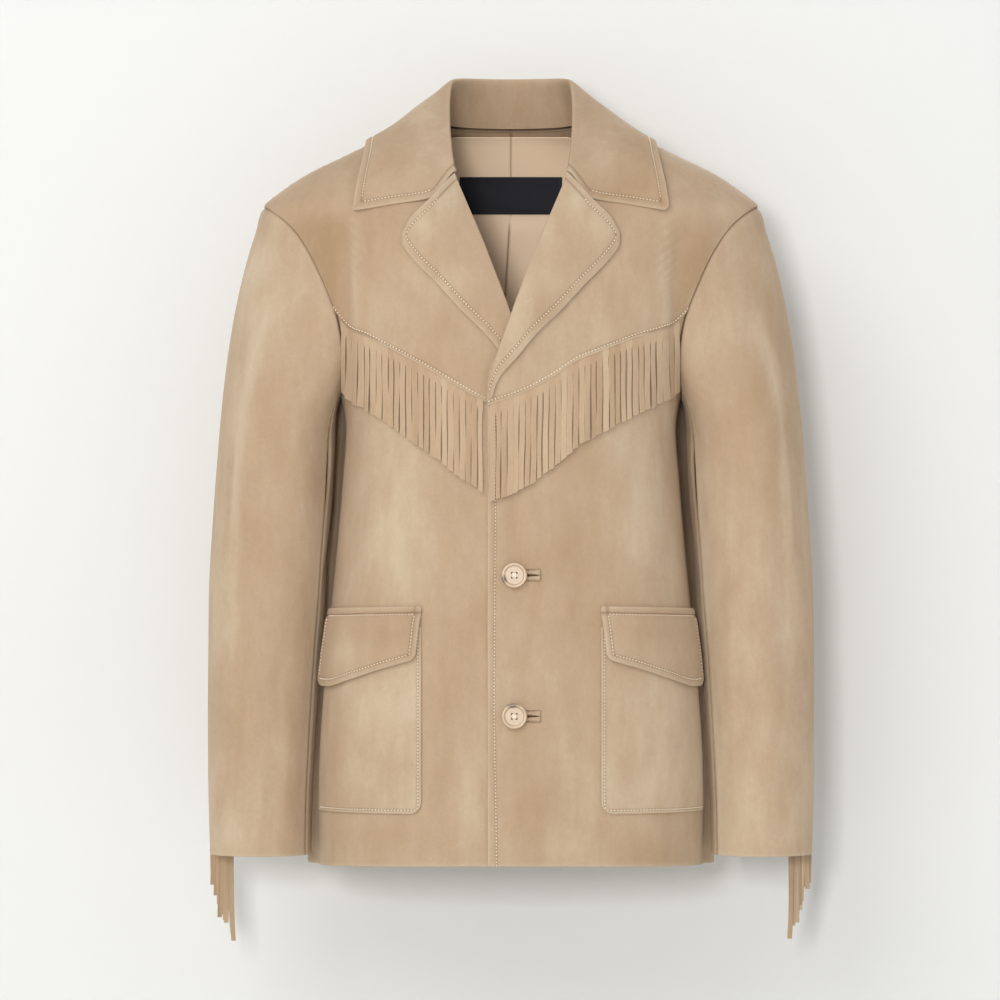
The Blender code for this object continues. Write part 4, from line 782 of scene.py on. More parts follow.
ways = 1.0 - 2.0 * stations(0.52, True, True, 0.0032)
sideOf = np.stack([np.sign(ways), np.ones(len(ways)), np.ones(len(ways))], -1)
fold, mid, rim = (collarLine(field, ways) for field in ("fold", "mid", "outer"))
seamPoint = neckSeam(np.abs(ways)) * sideOf + np.array([0.0, 0.0, 0.0024])
outward = (mid - fold) * np.array([1.0, 1.0, 0.0])
outward /= np.linalg.norm(outward, axis=-1, keepdims=True)
halfFold = 0.0026
neckSide, farSide = fold - outward * halfFold, fold + outward * halfFold
down = seamPoint - neckSide
down /= np.linalg.norm(down, axis=-1, keepdims=True)
leafDown = mid - farSide
leafDown /= np.linalg.norm(leafDown, axis=-1, keepdims=True)
profile = np.stack([seamPoint, 0.5 * seamPoint + 0.5 * neckSide, neckSide + down * 0.0012,
                    fold + up * 0.0010, farSide + leafDown * 0.0014, 0.45 * farSide + 0.55 * mid,
                    mid, 0.5 * mid + 0.5 * rim, rim])
profile = smoothColumns(profile, 6, 3.0)
lengths = np.linalg.norm(np.diff(profile, axis=0), axis=-1)
travelled = np.concatenate([np.zeros((1, len(ways))), np.cumsum(lengths, axis=0)])
foldShare = travelled[3] / travelled[-1]
rows = np.concatenate([np.linspace(0, 0.86, 12), [0.93, 0.965, 1.0, 1.035, 1.07, 1.14]])
leafRows = stations(0.080, False, True, 0.0030)
shareGrid = np.concatenate([rows[:, None] * foldShare[None],
                            1.14 * foldShare[None] + leafRows[1:, None] * (1 - 1.14 * foldShare[None])])
collarGrid = np.stack([np.stack([smoothThrough(travelled[:, j], profile[:, j, k],
                                               shareGrid[:, j] * travelled[-1, j]) for k in range(3)], -1)
                       for j in range(len(ways))], axis=1)
distances = borderDistances(collarGrid)
leaf = rise(1.2, 1.6, shareGrid / foldShare)
collarGrid = roundCorner(collarGrid, distances, "left", "top", 0.0075)
collarGrid = roundCorner(collarGrid, distances, "right", "top", 0.0040)
normals = gridNormals(collarGrid)
cloth = 0.0022
rims, inset = ("left", "right", "top"), body["stitchInset"]
outer, inner, edge, seam = finishEdges(distances, dict.fromkeys(rims, "fold"), cloth,
                                       dict.fromkeys(rims, inset), 0.7)
wave = 0.0008 * leaf * ripple(distances["left"], distances["top"], [(22, 30, 0.4, 0.6), (41, -24, 2.0, 0.4)])
face = collarGrid - normals * (outer - wave)[..., None]
hidden = collarGrid + normals * (cloth - inner + wave)[..., None]
stitchBorders(face, -normals, distances, [("top", inset, 0.020, 0.980), ("left", inset, 0.36, 0.915),
                                          ("right", inset, 0.36, 0.915)])
spots = [(0.120, -0.060, 0.020, 0.020, -0.4), (0.085, -0.030, 0.014, 0.025, 0.55),
         (-0.105, -0.030, 0.020, 0.025, -0.4), (-0.085, 0.010, 0.014, 0.020, 0.5),
         (-0.125, -0.060, 0.014, 0.014, 0.45), (0.060, 0.010, 0.012, 0.020, -0.3)]
x, z = face[..., 0], face[..., 2]
turned = shareGrid / foldShare
# painted shade inside the stand, below the fold, and on the wearer's left end of the collar
darker = 0.35 * rise(1.05, 0.85, turned) + 0.5 * rise(0.045, 0.080, x)
marks = {"edgeWear": np.maximum(edge, 0.5 * bell(turned - 1.0, 0.05)), "seamShade": seam,
         "napAndPaintedLight": patches(x, z, spots) - darker, "shade": 0.0}
keepSuede("collar_suede", face, hidden, distances, marks, collarGrid, ("collar_fall", "collar_stand"))
print("collar made")


# Patch pockets and their flaps
pocket = {"innerX": 0.0835, "outerTheta": math.radians(76), "topZ": -0.470, "bottomZ": -0.6435,
          "flapX": 0.0825, "flapTopZ": -0.4500, "flapTheta": math.radians(79)}


# Polar angle of a torso point from the angle of the solids: tan(phi) = tan(theta)^(2 / n)
def toPhi(theta, z):
    return np.arctan(np.tan(theta) ** (2.0 / torsoSizes(z)[3]))


for word, side in (("left", 1), ("right", -1)):
    z = np.linspace(pocket["bottomZ"], pocket["topZ"], 40)
    left = np.stack([frontPhi(np.full(40, pocket["innerX"]), z), z], -1)
    right = np.stack([toPhi(pocket["outerTheta"], z), z], -1)
    grid = patch(np.stack([left[0], right[0]]), np.stack([left[-1], right[-1]]), left, right,
                 stations(0.105, True, True, 0.0040), stations(0.172, True, False, 0.0045))
    distances = borderDistances(torso(grid[..., 0], grid[..., 1]))
    grid = roundCorner(grid, distances, "left", "bottom", 0.011)
    grid = roundCorner(grid, distances, "right", "bottom", 0.006)
    phi, z = grid[..., 0], grid[..., 1]
    x = torsoBase(phi, z)[..., 0]
    thick = 0.0018
    outer, inner, edge, seam = finishEdges(
        distances, {"left": "fold", "right": "fold", "bottom": "fold"}, thick,
        {"left": 0.0030, "bottom": 0.0034, "right": 0.0030}, 2 * side)
    centre = bell(distances["left"] - 0.052, 0.040) * bell(distances["bottom"] - 0.080, 0.070)
    under = 0.0005 + creaseLift(x, z, bodyCreases[side]) + 0.0016 * centre
    under = under + 0.0006 * ripple(x, z, [(60, 25, 0.3 * side, 0.5), (30, -70, 1.1, 0.5)]) * centre
    face = torso(phi, z, under + thick + outer, side)
    hidden = torso(phi, z, 0.0004 + inner + 0.5 * under, side)
    outward = torsoOutward(phi, z, under + thick + outer, side, face)
    stitchBorders(face, outward, distances, [("left", 0.0030, 0.02, 0.99), ("bottom", 0.0034, 0.03, 0.97)])
    spots = [(0.120, -0.540, 0.030, 0.030, 0.35), (0.100, -0.600, 0.018, 0.016, -0.25),
             (0.140, -0.610, 0.020, 0.022, 0.3)]
    marks = {"edgeWear": edge, "seamShade": seam, "napAndPaintedLight": patches(x, z, spots) + 0.20, "shade": 0.35}
    keepSuede(f"pocket_{word}_suede", face, hidden, distances, marks, face, (f"pocket_{word}",))

    # flap: a raised band along its top, a slanting foot and a free lower edge
    shares = np.linspace(0.0, 1.0, 50)
    topZ = pocket["flapTopZ"] - 0.004 * shares
    drop = smoothThrough([0.0, 0.24, 0.46, 0.70, 0.86, 1.0],
                         [0.0502, 0.0592, 0.0677, 0.0738, 0.0734, 0.0695], shares)
    topLine = np.stack([frontPhi(pocket["flapX"], topZ) * (1 - shares)
                        + toPhi(pocket["flapTheta"], topZ) * shares, topZ], -1)
    footZ = topZ - drop
    footLine = np.stack([frontPhi(pocket["flapX"] + 0.0055, footZ) * (1 - shares)
                         + toPhi(pocket["flapTheta"], footZ) * shares, footZ], -1)
    grid = patch(footLine, topLine, np.stack([footLine[0], topLine[0]]),
                 np.stack([footLine[-1], topLine[-1]]), stations(0.105, True, True, 0.0035),
                 stations(0.064, True, True, 0.0030))
    distances = borderDistances(torso(grid[..., 0], grid[..., 1]))
    for pair in (("left", "bottom", 0.006), ("right", "bottom", 0.012), ("left", "top", 0.003),
                 ("right", "top", 0.005)):
        grid = roundCorner(grid, distances, *pair)
    phi, z = grid[..., 0], grid[..., 1]
    x = torsoBase(phi, z)[..., 0]
    thick = 0.0026
    outer, inner, edge, seam = finishEdges(
        distances, {"left": "fold", "right": "fold", "bottom": "fold", "top": "fold"}, thick,
        {"bottom": 0.0066, "left": 0.0062, "right": 0.0062}, 3 * side)
    raised = rise(-0.456, -0.4670, z)
    free = bell(distances["bottom"], 0.022)
    under = 0.0005 + 0.0032 * raised + 0.0014 * free + creaseLift(x, z, bodyCreases[side])
    band = 0.0012 * rise(0.0066, 0.0052, distances["top"]) - 0.0005 * bell(distances["top"] - 0.0068, 0.0009)
    puff = 0.0010 * bell(distances["bottom"] - 0.030, 0.020) * rise(0.0, 0.02, distances["left"])
    puff = puff + 0.0007 * np.sin(60 * x + 2 * side) * free
    face = torso(phi, z, under + thick + outer + band + puff, side)
    hidden = torso(phi, z, under + inner, side)
    outward = torsoOutward(phi, z, under + thick + outer + band + puff, side, face)
    stitchBorders(face, outward, distances, [("top", 0.0076, 0.06, 0.96), ("bottom", 0.0066, 0.07, 0.94),
                                             ("left", 0.0062, 0.12, 0.86), ("right", 0.0062, 0.12, 0.86)])
    seam = np.maximum(seam, 0.7 * bell(distances["top"] - 0.0068, 0.0010))
    spots = [(0.115, -0.475, 0.03, 0.012, -0.3), (0.150, -0.495, 0.016, 0.016, 0.35)]
    marks = {"edgeWear": edge, "seamShade": seam, "napAndPaintedLight": patches(x, z, spots), "shade": 0.15 + 0.1 * side}
    keepSuede(f"pocket_flap_{word}_suede", face, hidden, distances, marks, face, (f"pocket_flap_{word}",))
print("pockets made")


# Cells of a fringe that stay: below the root rows, every third column is a gap between strands
def fringeCells(rows, rootRows, strands):
    keep = np.ones((rows - 1, 3 * strands - 1), bool)
    keep[:-rootRows, 2::3] = False
    return keep


fringeUser = {"pitch": 0.0055, "outerX": 0.158, "startX": {1: -0.0200, -1: 0.0260},
              "sideLength": 0.066, "centreLength": 0.093, "root": 0.0108, "rootRows": 5, "cloth": 0.0012}
for word, side in (("left", 1), ("right", -1)):
    start = fringeUser["startX"][side]
    strands = int((fringeUser["outerX"] - start) / fringeUser["pitch"])
    number = np.repeat(np.arange(strands), 3)
    part = np.tile([-1.0, 0.0, 1.0], strands)
    dice = np.random.default_rng(11 + side)
    gap = np.repeat(dice.choice([0.03, 0.07, 0.13, 0.26], strands, p=[0.35, 0.3, 0.22, 0.13]), 3)
    middle = start + (number + 0.5) * fringeUser["pitch"]
    outwards = np.clip(middle / fringeUser["outerX"], 0.0, 1.0)
    length = fringeUser["centreLength"] * (1 - outwards) + fringeUser["sideLength"] * outwards
    length = length + np.repeat(dice.normal(0.0, 0.0007, strands), 3)
    wander = 0.5 * np.cumsum(dice.normal(0.0, 0.00028, strands))
    lean = np.repeat(wander + dice.normal(0.0, 0.00030, strands), 3)
    curl = np.repeat(dice.normal(0.0, 1.0, strands), 3)
    rows = np.concatenate([np.linspace(1.0, 0.12, 26),
                           np.linspace(0.095, 0.0, fringeUser["rootRows"])])[:, None]
    hang = rows * length[None]
    free = np.clip((hang - fringeUser["root"]) / fringeUser["centreLength"], 0.0, 1.0)
    narrow = 1.0 - gap[None] * rise(0.0, 0.02, free) - 0.02
    x = middle[None] + part[None] * fringeUser["pitch"] * 0.5 * narrow
    x = x + lean[None] * (free * 1.4) + 0.00035 * np.sin(7 * free + curl[None] * 2) * rise(0, 0.2, free)
    top = yokeSeamHeight(x, side) + 0.0006
    z = top - hang
    x = np.minimum(x, 0.985 * torsoSizes(z)[0])
    away = 0.0026 * (hang / 0.093) ** 2 + 0.0006 * np.abs(curl[None]) * free ** 1.5
    twist = 0.00045 * part[None] * curl[None] * rise(0.05, 0.8, free)
    bodyLift = frontLift(x, z, side) + creaseLift(x, z, bodyCreases[side])
    lift = bodyLift + 0.0005 + away + 0.0010 * rise(0.115, 0.145, x) + 0.0006
    lift = lift + 0.0004 * (number % 2)[None] * rise(0.0, 0.1, free) + twist
    thick = fringeUser["cloth"]
    hump = -0.00018 * np.abs(part[None]) * rise(0.0, 0.02, free)
    face = onFront(x, z, lift + thick + hump, side)
    hidden = onFront(x, z, lift, side)
    keep = fringeCells(len(face), fringeUser["rootRows"], strands)
    tone = np.repeat(dice.normal(0.0, 0.35, strands), 3)
    marks = {"edgeWear": 0.35 * np.abs(part)[None] * rise(0, 0.02, free),
             "seamShade": 0.8 * bell(hang, 0.0022), "napAndPaintedLight": tone[None] * 0.6, "shade": tone[None]}
    mesh = shellMesh(f"fringe_chest_{word}", face, hidden, keep, marks)
    suedePieces[f"fringe_chest_{word}_suede"] = (mesh, float(np.mean(length) * strands * fringeUser["pitch"]),
                                                 (f"fringe_chest_{word}",))


# Ribbon strands hung from given roots: centre lines, breadth ways and widths give closed boxes
def ribbonMesh(centre, breadth, thin, width, thickness):
    half = 0.5 * width[..., None] * breadth
    flat = 0.5 * thickness * thin
    corners = np.stack([centre - half - flat, centre + half - flat, centre + half + flat,
                        centre - half + flat], axis=2)
    strands, rings = centre.shape[:2]
    ring = np.arange(4)
    nextRing = (ring + 1) % 4
    k = 4 * np.arange(rings - 1)[:, None]
    sides = np.stack([ring + k, nextRing + k, nextRing + k + 4, ring + k + 4], -1).reshape(-1, 4)
    last = 4 * (rings - 1)
    caps = np.array([[3, 2, 1, 0], [last, last + 1, last + 2, last + 3]])
    faces = np.concatenate([sides, caps])
    faces = (faces[None] + 4 * rings * np.arange(strands)[:, None, None]).reshape(-1, 4)
    return corners.reshape(-1, 3), faces


# cuff fringe: twelve strands rooted in the back seam of the sleeve, hanging straight down
cuff = {"strands": 12, "pitch": 0.0057, "length": 0.090, "width": 0.0043, "step": 0.00200}
for word, side in (("left", 1), ("right", -1)):
    k = np.arange(cuff["strands"])
    dice = np.random.default_rng(31 + side)
    rootZ = sleeveRows[0, 0] + cuff["width"] + k * cuff["pitch"]
    stack = np.array([0.85, 0.53, 0.0]) / math.hypot(0.85, 0.53)
    seamAt = sleeveSection(np.full(len(k), sleeve["backSeam"]), rootZ) + stack * 0.0004
    breadthDown = np.cross(up, stack)
    t = np.linspace(0.0, 1.0, 26)
    length = cuff["length"] + dice.normal(0.0, 0.003, len(k)) + 0.0010 * k
    aside = 0.0030 + k * cuff["step"]
    turnOver = rise(0.0, 0.12, t)[None]
    drop = length[:, None] * (t[None] - 0.055 * turnOver)
    outAway = aside[:, None] * rise(0.0, 0.16, t)[None]
    sway = dice.normal(0.0, 1.0, len(k))[:, None]
    swing = 0.0018 * sway * t[None] ** 2 - 0.0040 * (k[:, None] < 2) * t[None] ** 3
    centre = (seamAt[:, None] + stack * (outAway + swing)[..., None]
              + breadthDown * (0.0010 * np.sin(3.0 * t[None] + 2 * sway) * t[None])[..., None]
              - up * drop[..., None])
    yaw = 0.30 * sway * t[None]
    sidewards, backwards = np.array([-1.0, 0.0, 0.0]), np.array([0.0, 1.0, 0.0])
    across = sidewards * np.cos(yaw)[..., None] + backwards * np.sin(yaw)[..., None]
    # at the root a strand lies along the seam, further down it hangs broadside
    along0 = np.broadcast_to(up, across.shape)
    blend = rise(0.0, 0.14, t)[None, :, None]
    breadth = along0 * (1 - blend) + across * blend
    breadth /= np.linalg.norm(breadth, axis=-1, keepdims=True)
    run = np.gradient(centre, axis=1)
    thin = np.cross(breadth, run)
    thin /= np.linalg.norm(thin, axis=-1, keepdims=True)
    width = cuff["width"] * np.ones((len(k), len(t)))
    points, faces = ribbonMesh(centre, breadth, thin, width, 0.0012)
    tone = np.repeat(dice.normal(0.0, 0.5, len(k)), 4 * len(t))
    marks = {"edgeWear": np.full(len(points), 0.2), "seamShade": np.zeros(len(points)),
             "napAndPaintedLight": tone, "shade": tone}
    mesh = newMesh(f"fringe_sleeve_{word}", points * np.array([side, 1.0, 1.0]), faces, marks)
    suedePieces[f"fringe_sleeve_{word}_suede"] = (mesh, float((length * cuff["width"]).sum()),
                                                  (f"fringe_sleeve_{word}",))
print("fringe made")


# Lining and bare label inside the back
liningUser = {"halfWidth": 0.100, "bottomZ": -0.265, "depth": 0.0041, "cloth": 0.0010, "pleat": 0.0022}


# Points inside the back, seen from the front at x and z
def inBack(x, z, depth):
    return torso(np.pi - frontPhi(x, z), z, -np.asarray(depth, float))


# Sideways place of the pleat below the label
def pleatX(z):
    return -0.0010 - 0.0600 * np.clip(-0.080 - z, 0.0, 0.100)


upward = np.linspace(0.0, 1.0, 90)[:, None]
wing = np.concatenate([np.linspace(0.0002, 0.006, 8), np.linspace(0.0085, liningUser["halfWidth"], 40)])
spread = np.concatenate([-wing[::-1], wing])[None, :]
top = 0.001 - 0.30 * np.clip(np.abs(spread) - 0.055, 0.0, None)
z = (1 - upward) * liningUser["bottomZ"] + upward * top
x = spread + pleatX(z) * bell(spread, 0.02)
below = rise(-0.076, -0.092, z)
pleat = liningUser["pleat"] * rise(-0.0002, 0.0002, x - pleatX(z)) * bell(x - pleatX(z), 0.028) * below
seamGroove = -0.0007 * bell(x, 0.0009) * rise(-0.080, -0.070, z)
sagWaves = [(55, 9, 0.5, 0.5), (90, -14, 2.2, 0.3), (140, 20, 1.0, 0.2)]
sag = 0.0012 * ripple(x, z, sagWaves) * rise(-0.07, -0.14, z)
depth = liningUser["depth"] + pleat + seamGroove + 0.4 * np.abs(sag)
face, hidden = inBack(x, z, depth + liningUser["cloth"]), inBack(x, z, np.full(x.shape, 0.0041))
# painted shade along the pleat and a dark centre seam; painted light on the half at negative x and a painted shadow
# just beside the pleat on its far side
marks = {"seamShade": np.maximum(bell(x - pleatX(z), 0.0012) * below, 0.8 * bell(x, 0.0008) * rise(-0.080, -0.070, z)),
         "shade": np.where(x < 0, 0.6, -0.3) * rise(-0.10, -0.03, z) - 0.5 * bell(x - pleatX(z) - 0.004, 0.008) * below
         * (x > pleatX(z))}
liningMesh = shellMesh("lining", face, hidden, None, marks, np.stack([x, z], -1))

labelUser = {"halfWidth": 0.050, "topZ": -0.0365, "bottomZ": -0.0735}
x = (stations(0.1, True, True, 0.0030) * 2 - 1)[None, :] * labelUser["halfWidth"]
z = labelUser["bottomZ"] + stations(0.037, True, True, 0.0020)[:, None] * (labelUser["topZ"] - labelUser["bottomZ"])
x, z = np.broadcast_arrays(x, z)
depth = np.full(x.shape, liningUser["depth"] + liningUser["cloth"] + 0.0006)
sideGap = np.minimum(np.minimum(x + 0.05, 0.05 - x), np.minimum(labelUser["topZ"] - z, z - labelUser["bottomZ"]))
ends = np.minimum(x + 0.05, 0.05 - x)
depth = depth + 0.0005 * np.sin(45 * x + 0.6) * rise(0, 0.006, sideGap) - 0.0003 * bell(ends - 0.0022, 0.0006)
face = inBack(x, z, depth + 0.0010 - rimSink(sideGap, 0.0004))
hidden = inBack(x, z, depth + rimSink(sideGap, 0.0004))
labelMesh = shellMesh("label", face, hidden, None, {"seamShade": 0.8 * bell(ends - 0.0022, 0.0005)},
                      np.stack([x, z], -1))
print("lining and label made")


# Buttons, their thread, and bound buttonholes
buttonUser = {"x": 0.0028, "z": {"upper": -0.4215, "lower": -0.5525}, "radius": 0.0120, "thick": 0.0036,
              "recess": 0.0088, "deep": 0.0008, "hole": 0.00095, "space": 0.0021}


# Place on the left front and its sideways, upward and outward directions
def frontAxes(x, z, lift):
    x, z = np.array(x), np.array(z)
    place = onFront(x, z, frontLift(x, z, 1) + lift, 1)
    outward = onFront(x, z, frontLift(x, z, 1) + lift + 0.01, 1) - place
    outward /= np.linalg.norm(outward)
    sideways = -np.cross(outward, up)
    sideways /= np.linalg.norm(sideways)
    return place, sideways, np.cross(outward, sideways), outward


# Button: rings from the middle of the face over the rim to the middle of the back, with four pits
def buttonMesh(name, place, sideways, upward, outward):
    radius, thick, recess = buttonUser["radius"], buttonUser["thick"], buttonUser["recess"]
    faceR = np.concatenate([np.linspace(0.0001, recess - 0.0008, 56),
                            recess + np.linspace(-0.0006, 0.0008, 8)])
    faceH = thick - buttonUser["deep"] * rise(recess + 0.0008, recess - 0.0006, faceR)
    turn = np.linspace(0.0, math.pi / 2, 9)
    rimR = radius - 0.0013 + 0.0013 * np.sin(turn)
    rimH = thick - 0.0012 + 0.0012 * np.cos(turn)
    backR, backH = np.array([radius, radius - 0.0010, 0.0001]), np.array([0.0010, 0.0, 0.0])
    r, h = np.concatenate([faceR, rimR, backR]), np.concatenate([faceH, rimH, backH])
    spokes = 120
    angle = 2 * math.pi * np.arange(spokes) / spokes
    x, y = r[:, None] * np.cos(angle), r[:, None] * np.sin(angle)
    pit = np.zeros(x.shape)
    for sx in (-1, 1):
        for sy in (-1, 1):
            off = np.hypot(x - sx * buttonUser["space"], y - sy * buttonUser["space"])
            pit = np.maximum(pit, rise(buttonUser["hole"] + 0.00012, buttonUser["hole"] - 0.00025, off))
    pit[len(faceR):] = 0.0
    height = h[:, None] - 0.0019 * pit
    points = place + x[..., None] * sideways + y[..., None] * upward + height[..., None] * outward
    ring = np.arange(len(r) - 1)[:, None] * spokes
    a, b = ring + np.arange(spokes), ring + (np.arange(spokes) + 1) % spokes
    faces = np.stack([a, b, b + spokes, a + spokes], -1).reshape(-1, 4)
    count = points.shape[0] * spokes
    points = np.concatenate([points.reshape(-1, 3), (place + outward * height[0, 0])[None], place[None]])
    s = np.arange(0, spokes, 2)
    capTop = np.stack([np.full(len(s), count), (s + 2) % spokes, (s + 1) % spokes, s], -1)
    base = (len(r) - 1) * spokes
    capBack = np.stack([np.full(len(s), count + 1), base + s, base + (s + 1) % spokes,
                        base + (s + 2) % spokes], -1)
    faces = np.concatenate([faces, capTop, capBack])
    local = np.stack([np.concatenate([x.ravel(), [0, 0]]), np.concatenate([y.ravel(), [0, 0]])], -1)
    marks = {"pit": np.concatenate([pit.ravel(), [0, 0]]), "localX": local[:, 0] / radius,
             "localY": local[:, 1] / radius}
    return newMesh(name, points, faces, marks)


buttonMeshes = {}
threadParts = []
for word, z in buttonUser["z"].items():
    place, sideways, upward, outward = frontAxes(buttonUser["x"], z, 0.0020)
    buttonMeshes[word] = buttonMesh(f"button_{word}", place, sideways, upward, outward)
    # thread crosses between the holes on the diagonals, three strands each
    t = np.linspace(-1.0, 1.0, 9)
    top = buttonUser["thick"] - buttonUser["deep"]
    for sx, sy, above in ((1, 1, 0.0), (1, -1, 0.00035)):
        for off in (-0.00034, 0.0, 0.00034):
            run = np.array([sx, sy]) / math.sqrt(2)
            sideRun = np.array([-run[1], run[0]])
            reach = buttonUser["space"] * math.sqrt(2)
            flat = run[None] * (t * reach)[:, None] + sideRun[None] * off
            height = top + 0.00045 + above - 0.0013 * rise(0.72, 1.0, np.abs(t))
            centre = place + flat[:, :1] * sideways + flat[:, 1:] * upward + height[:, None] * outward
            across = sideRun[0] * sideways + sideRun[1] * upward
            breadth = np.broadcast_to(across, centre.shape)
            thin = np.broadcast_to(outward, centre.shape)
            threadParts.append(ribbonMesh(centre[None], breadth[None], thin[None],
                                          np.full((1, len(t)), 0.00034), 0.00034))

hole = {"startX": 0.0040, "endX": 0.0272, "half": 0.0056, "slit": 0.0011}
buttonholeMeshes = {}
for word, z0 in buttonUser["z"].items():
    x = (hole["startX"] + stations(hole["endX"] - hole["startX"], True, True, 0.0006)
         * (hole["endX"] - hole["startX"]))[None, :]
    h = np.linspace(-hole["half"], hole["half"], 60)[:, None]
    x, h = np.broadcast_arrays(x, h)
    # the slit gapes beside the button and closes towards its far end
    gape = hole["slit"] * (0.35 + 1.1 * rise(hole["endX"] - 0.001, 0.014, x))
    gape = gape * rise(hole["endX"] - 0.0019, hole["endX"] - 0.0026, x)
    inSlit = rise(gape + 0.0003, np.maximum(gape - 0.0002, 0.0), np.abs(h))
    rimGap = np.minimum(hole["half"] - np.abs(h), hole["endX"] - x)
    bulge = np.clip((np.abs(h) - gape) / (hole["half"] - 0.0008 - gape), 0, 1)
    welt = 0.0009 * np.sin(math.pi * bulge) ** 0.7
    lift = 0.0005 + 0.0004 + welt - 0.0012 * inSlit - 0.0005 * bell(rimGap - 0.0006, 0.0004)
    z = z0 + h
    base = frontLift(x, z, 1) + creaseLift(x, z, bodyCreases[1])
    face = onFront(x, z, base + np.maximum(lift, 0.00012), 1)
    hidden = onFront(x, z, base - 0.0004, 1)
    marks = {"edgeWear": 0.6 * bell(np.abs(h) - gape - 0.0006, 0.0005), "napAndPaintedLight": 0.0, "shade": 0.0,
             "seamShade": np.maximum(2.6 * inSlit, bell(rimGap, 0.0006))}
    buttonholeMeshes[word] = shellMesh(f"buttonhole_{word}", face, hidden, None, marks)
print("buttons made")


# Linear colour of a display colour written as #rrggbb
def linear(text):
    values = np.array([int(text[k:k + 2], 16) / 255.0 for k in (1, 3, 5)])
    values = np.where(values <= 0.04045, values / 12.92, ((values + 0.055) / 1.055) ** 2.4)
    return (*values.tolist(), 1.0)


# Node with its settings and inputs: a socket is linked, anything else is set
def addNode(tree, kind, inputs=None, **settings):
    made = tree.nodes.new(kind)
    for key, value in settings.items():
        setattr(made, key, value)
    for key, value in (inputs or {}).items():
        if isinstance(value, bpy.types.NodeSocket):
            tree.links.new(value, made.inputs[key])
        else:
            made.inputs[key].default_value = value
    return made


# One arithmetic node
def maths(tree, operation, first, second=0.0, third=0.0):
    return addNode(tree, "ShaderNodeMath", {0: first, 1: second, 2: third}, operation=operation).outputs[0]


# Colour mixed from two by a factor
def mixColours(tree, factor, first, second, blend="MIX"):
    made = addNode(tree, "ShaderNodeMix", {0: factor, 6: first, 7: second}, data_type="RGBA",
                   blend_type=blend, clamp_factor=True)
    return made.outputs[2]


# Noise at a scale, stretched, of a place
def noise(tree, place, scale, stretch=(1, 1, 1), detail=3.0, roughness=0.55, shift=None):
    mapped = addNode(tree, "ShaderNodeMapping", {"Vector": place, "Scale": stretch})
    vector = mapped.outputs[0]
    if shift is not None:
        vector = addNode(tree, "ShaderNodeVectorMath", {0: vector, 1: shift}, operation="ADD").outputs[0]
    return addNode(tree, "ShaderNodeTexNoise", {"Vector": vector, "Scale": scale, "Detail": detail,
                                                "Roughness": roughness}).outputs["Fac"]


# Empty node group with named inputs and outputs
def newGroup(name, inputs, outputs):
    tree = bpy.data.node_groups.new(name, "ShaderNodeTree")
    for socketName, kind, value in inputs:
        made = tree.interface.new_socket(socketName, in_out="INPUT", socket_type=kind)
        if value is not None:
            made.default_value = value
    for socketName, kind in outputs:
        tree.interface.new_socket(socketName, in_out="OUTPUT", socket_type=kind)
    source, sink = tree.nodes.new("NodeGroupInput"), tree.nodes.new("NodeGroupOutput")
    return tree, source.outputs, sink.inputs


# Suede nap: brushed clouds and streaks between a dark, a middle and a pale tone, shifted by the nap marks, which also
# carry painted light and shade, pale rubbed rims, dark seams, short fibres, and the height of the nap for the bump
napTree, given, result = newGroup(
    "suedeNap",
    [("Place", "NodeSocketVector", None), ("Dark", "NodeSocketColor", (0.4, 0.3, 0.2, 1)),
     ("Middle", "NodeSocketColor", (0.5, 0.4, 0.3, 1)), ("Pale", "NodeSocketColor", (0.6, 0.5, 0.4, 1)),
     ("NapAndPaintedLight", "NodeSocketFloat", 0.0), ("Edge", "NodeSocketFloat", 0.0), ("Seam", "NodeSocketFloat", 0.0),
     ("Shade", "NodeSocketFloat", 0.0), ("Contrast", "NodeSocketFloat", 1.0)],
    [("Color", "NodeSocketColor"), ("Roughness", "NodeSocketFloat"), ("Height", "NodeSocketFloat")])
shift = addNode(napTree, "ShaderNodeCombineXYZ", {0: given["Shade"], 1: 0.0, 2: given["Shade"]}).outputs[0]
shift = addNode(napTree, "ShaderNodeVectorMath", {0: shift, "Scale": 3.7}, operation="SCALE").outputs[0]
clouds = noise(napTree, given["Place"], 7.5, (1.0, 1.0, 0.55), 2.0, 0.5, shift)
brushed = noise(napTree, given["Place"], 26.0, (1.0, 1.0, 0.50), 4.0, 0.62, shift)
streaks = noise(napTree, given["Place"], 85.0, (1.0, 1.0, 0.22), 3.0, 0.6, shift)
mottle = noise(napTree, given["Place"], 190.0, (1.0, 1.0, 0.8), 4.0, 0.65)
fibres = noise(napTree, given["Place"], 900.0, (1.0, 1.0, 0.45), 3.0, 0.7)
tone = maths(napTree, "MULTIPLY_ADD", maths(napTree, "SUBTRACT", clouds, 0.5), 1.10, 0.0)
tone = maths(napTree, "MULTIPLY_ADD", maths(napTree, "SUBTRACT", brushed, 0.5), 1.05, tone)
tone = maths(napTree, "MULTIPLY_ADD", maths(napTree, "SUBTRACT", streaks, 0.5), 0.50, tone)
tone = maths(napTree, "MULTIPLY_ADD", maths(napTree, "SUBTRACT", mottle, 0.5), 0.35, tone)
tone = maths(napTree, "MULTIPLY", tone, given["Contrast"])
tone = maths(napTree, "MULTIPLY_ADD", given["NapAndPaintedLight"], 0.42, tone)
tone = maths(napTree, "MULTIPLY_ADD", given["Shade"], 0.10, tone)
paler = maths(napTree, "MULTIPLY", maths(napTree, "MAXIMUM", tone, 0.0), 1.6)
darker = maths(napTree, "MULTIPLY", maths(napTree, "MAXIMUM", maths(napTree, "MULTIPLY", tone, -1.0), 0.0), 1.6)
colour = mixColours(napTree, paler, given["Middle"], given["Pale"])
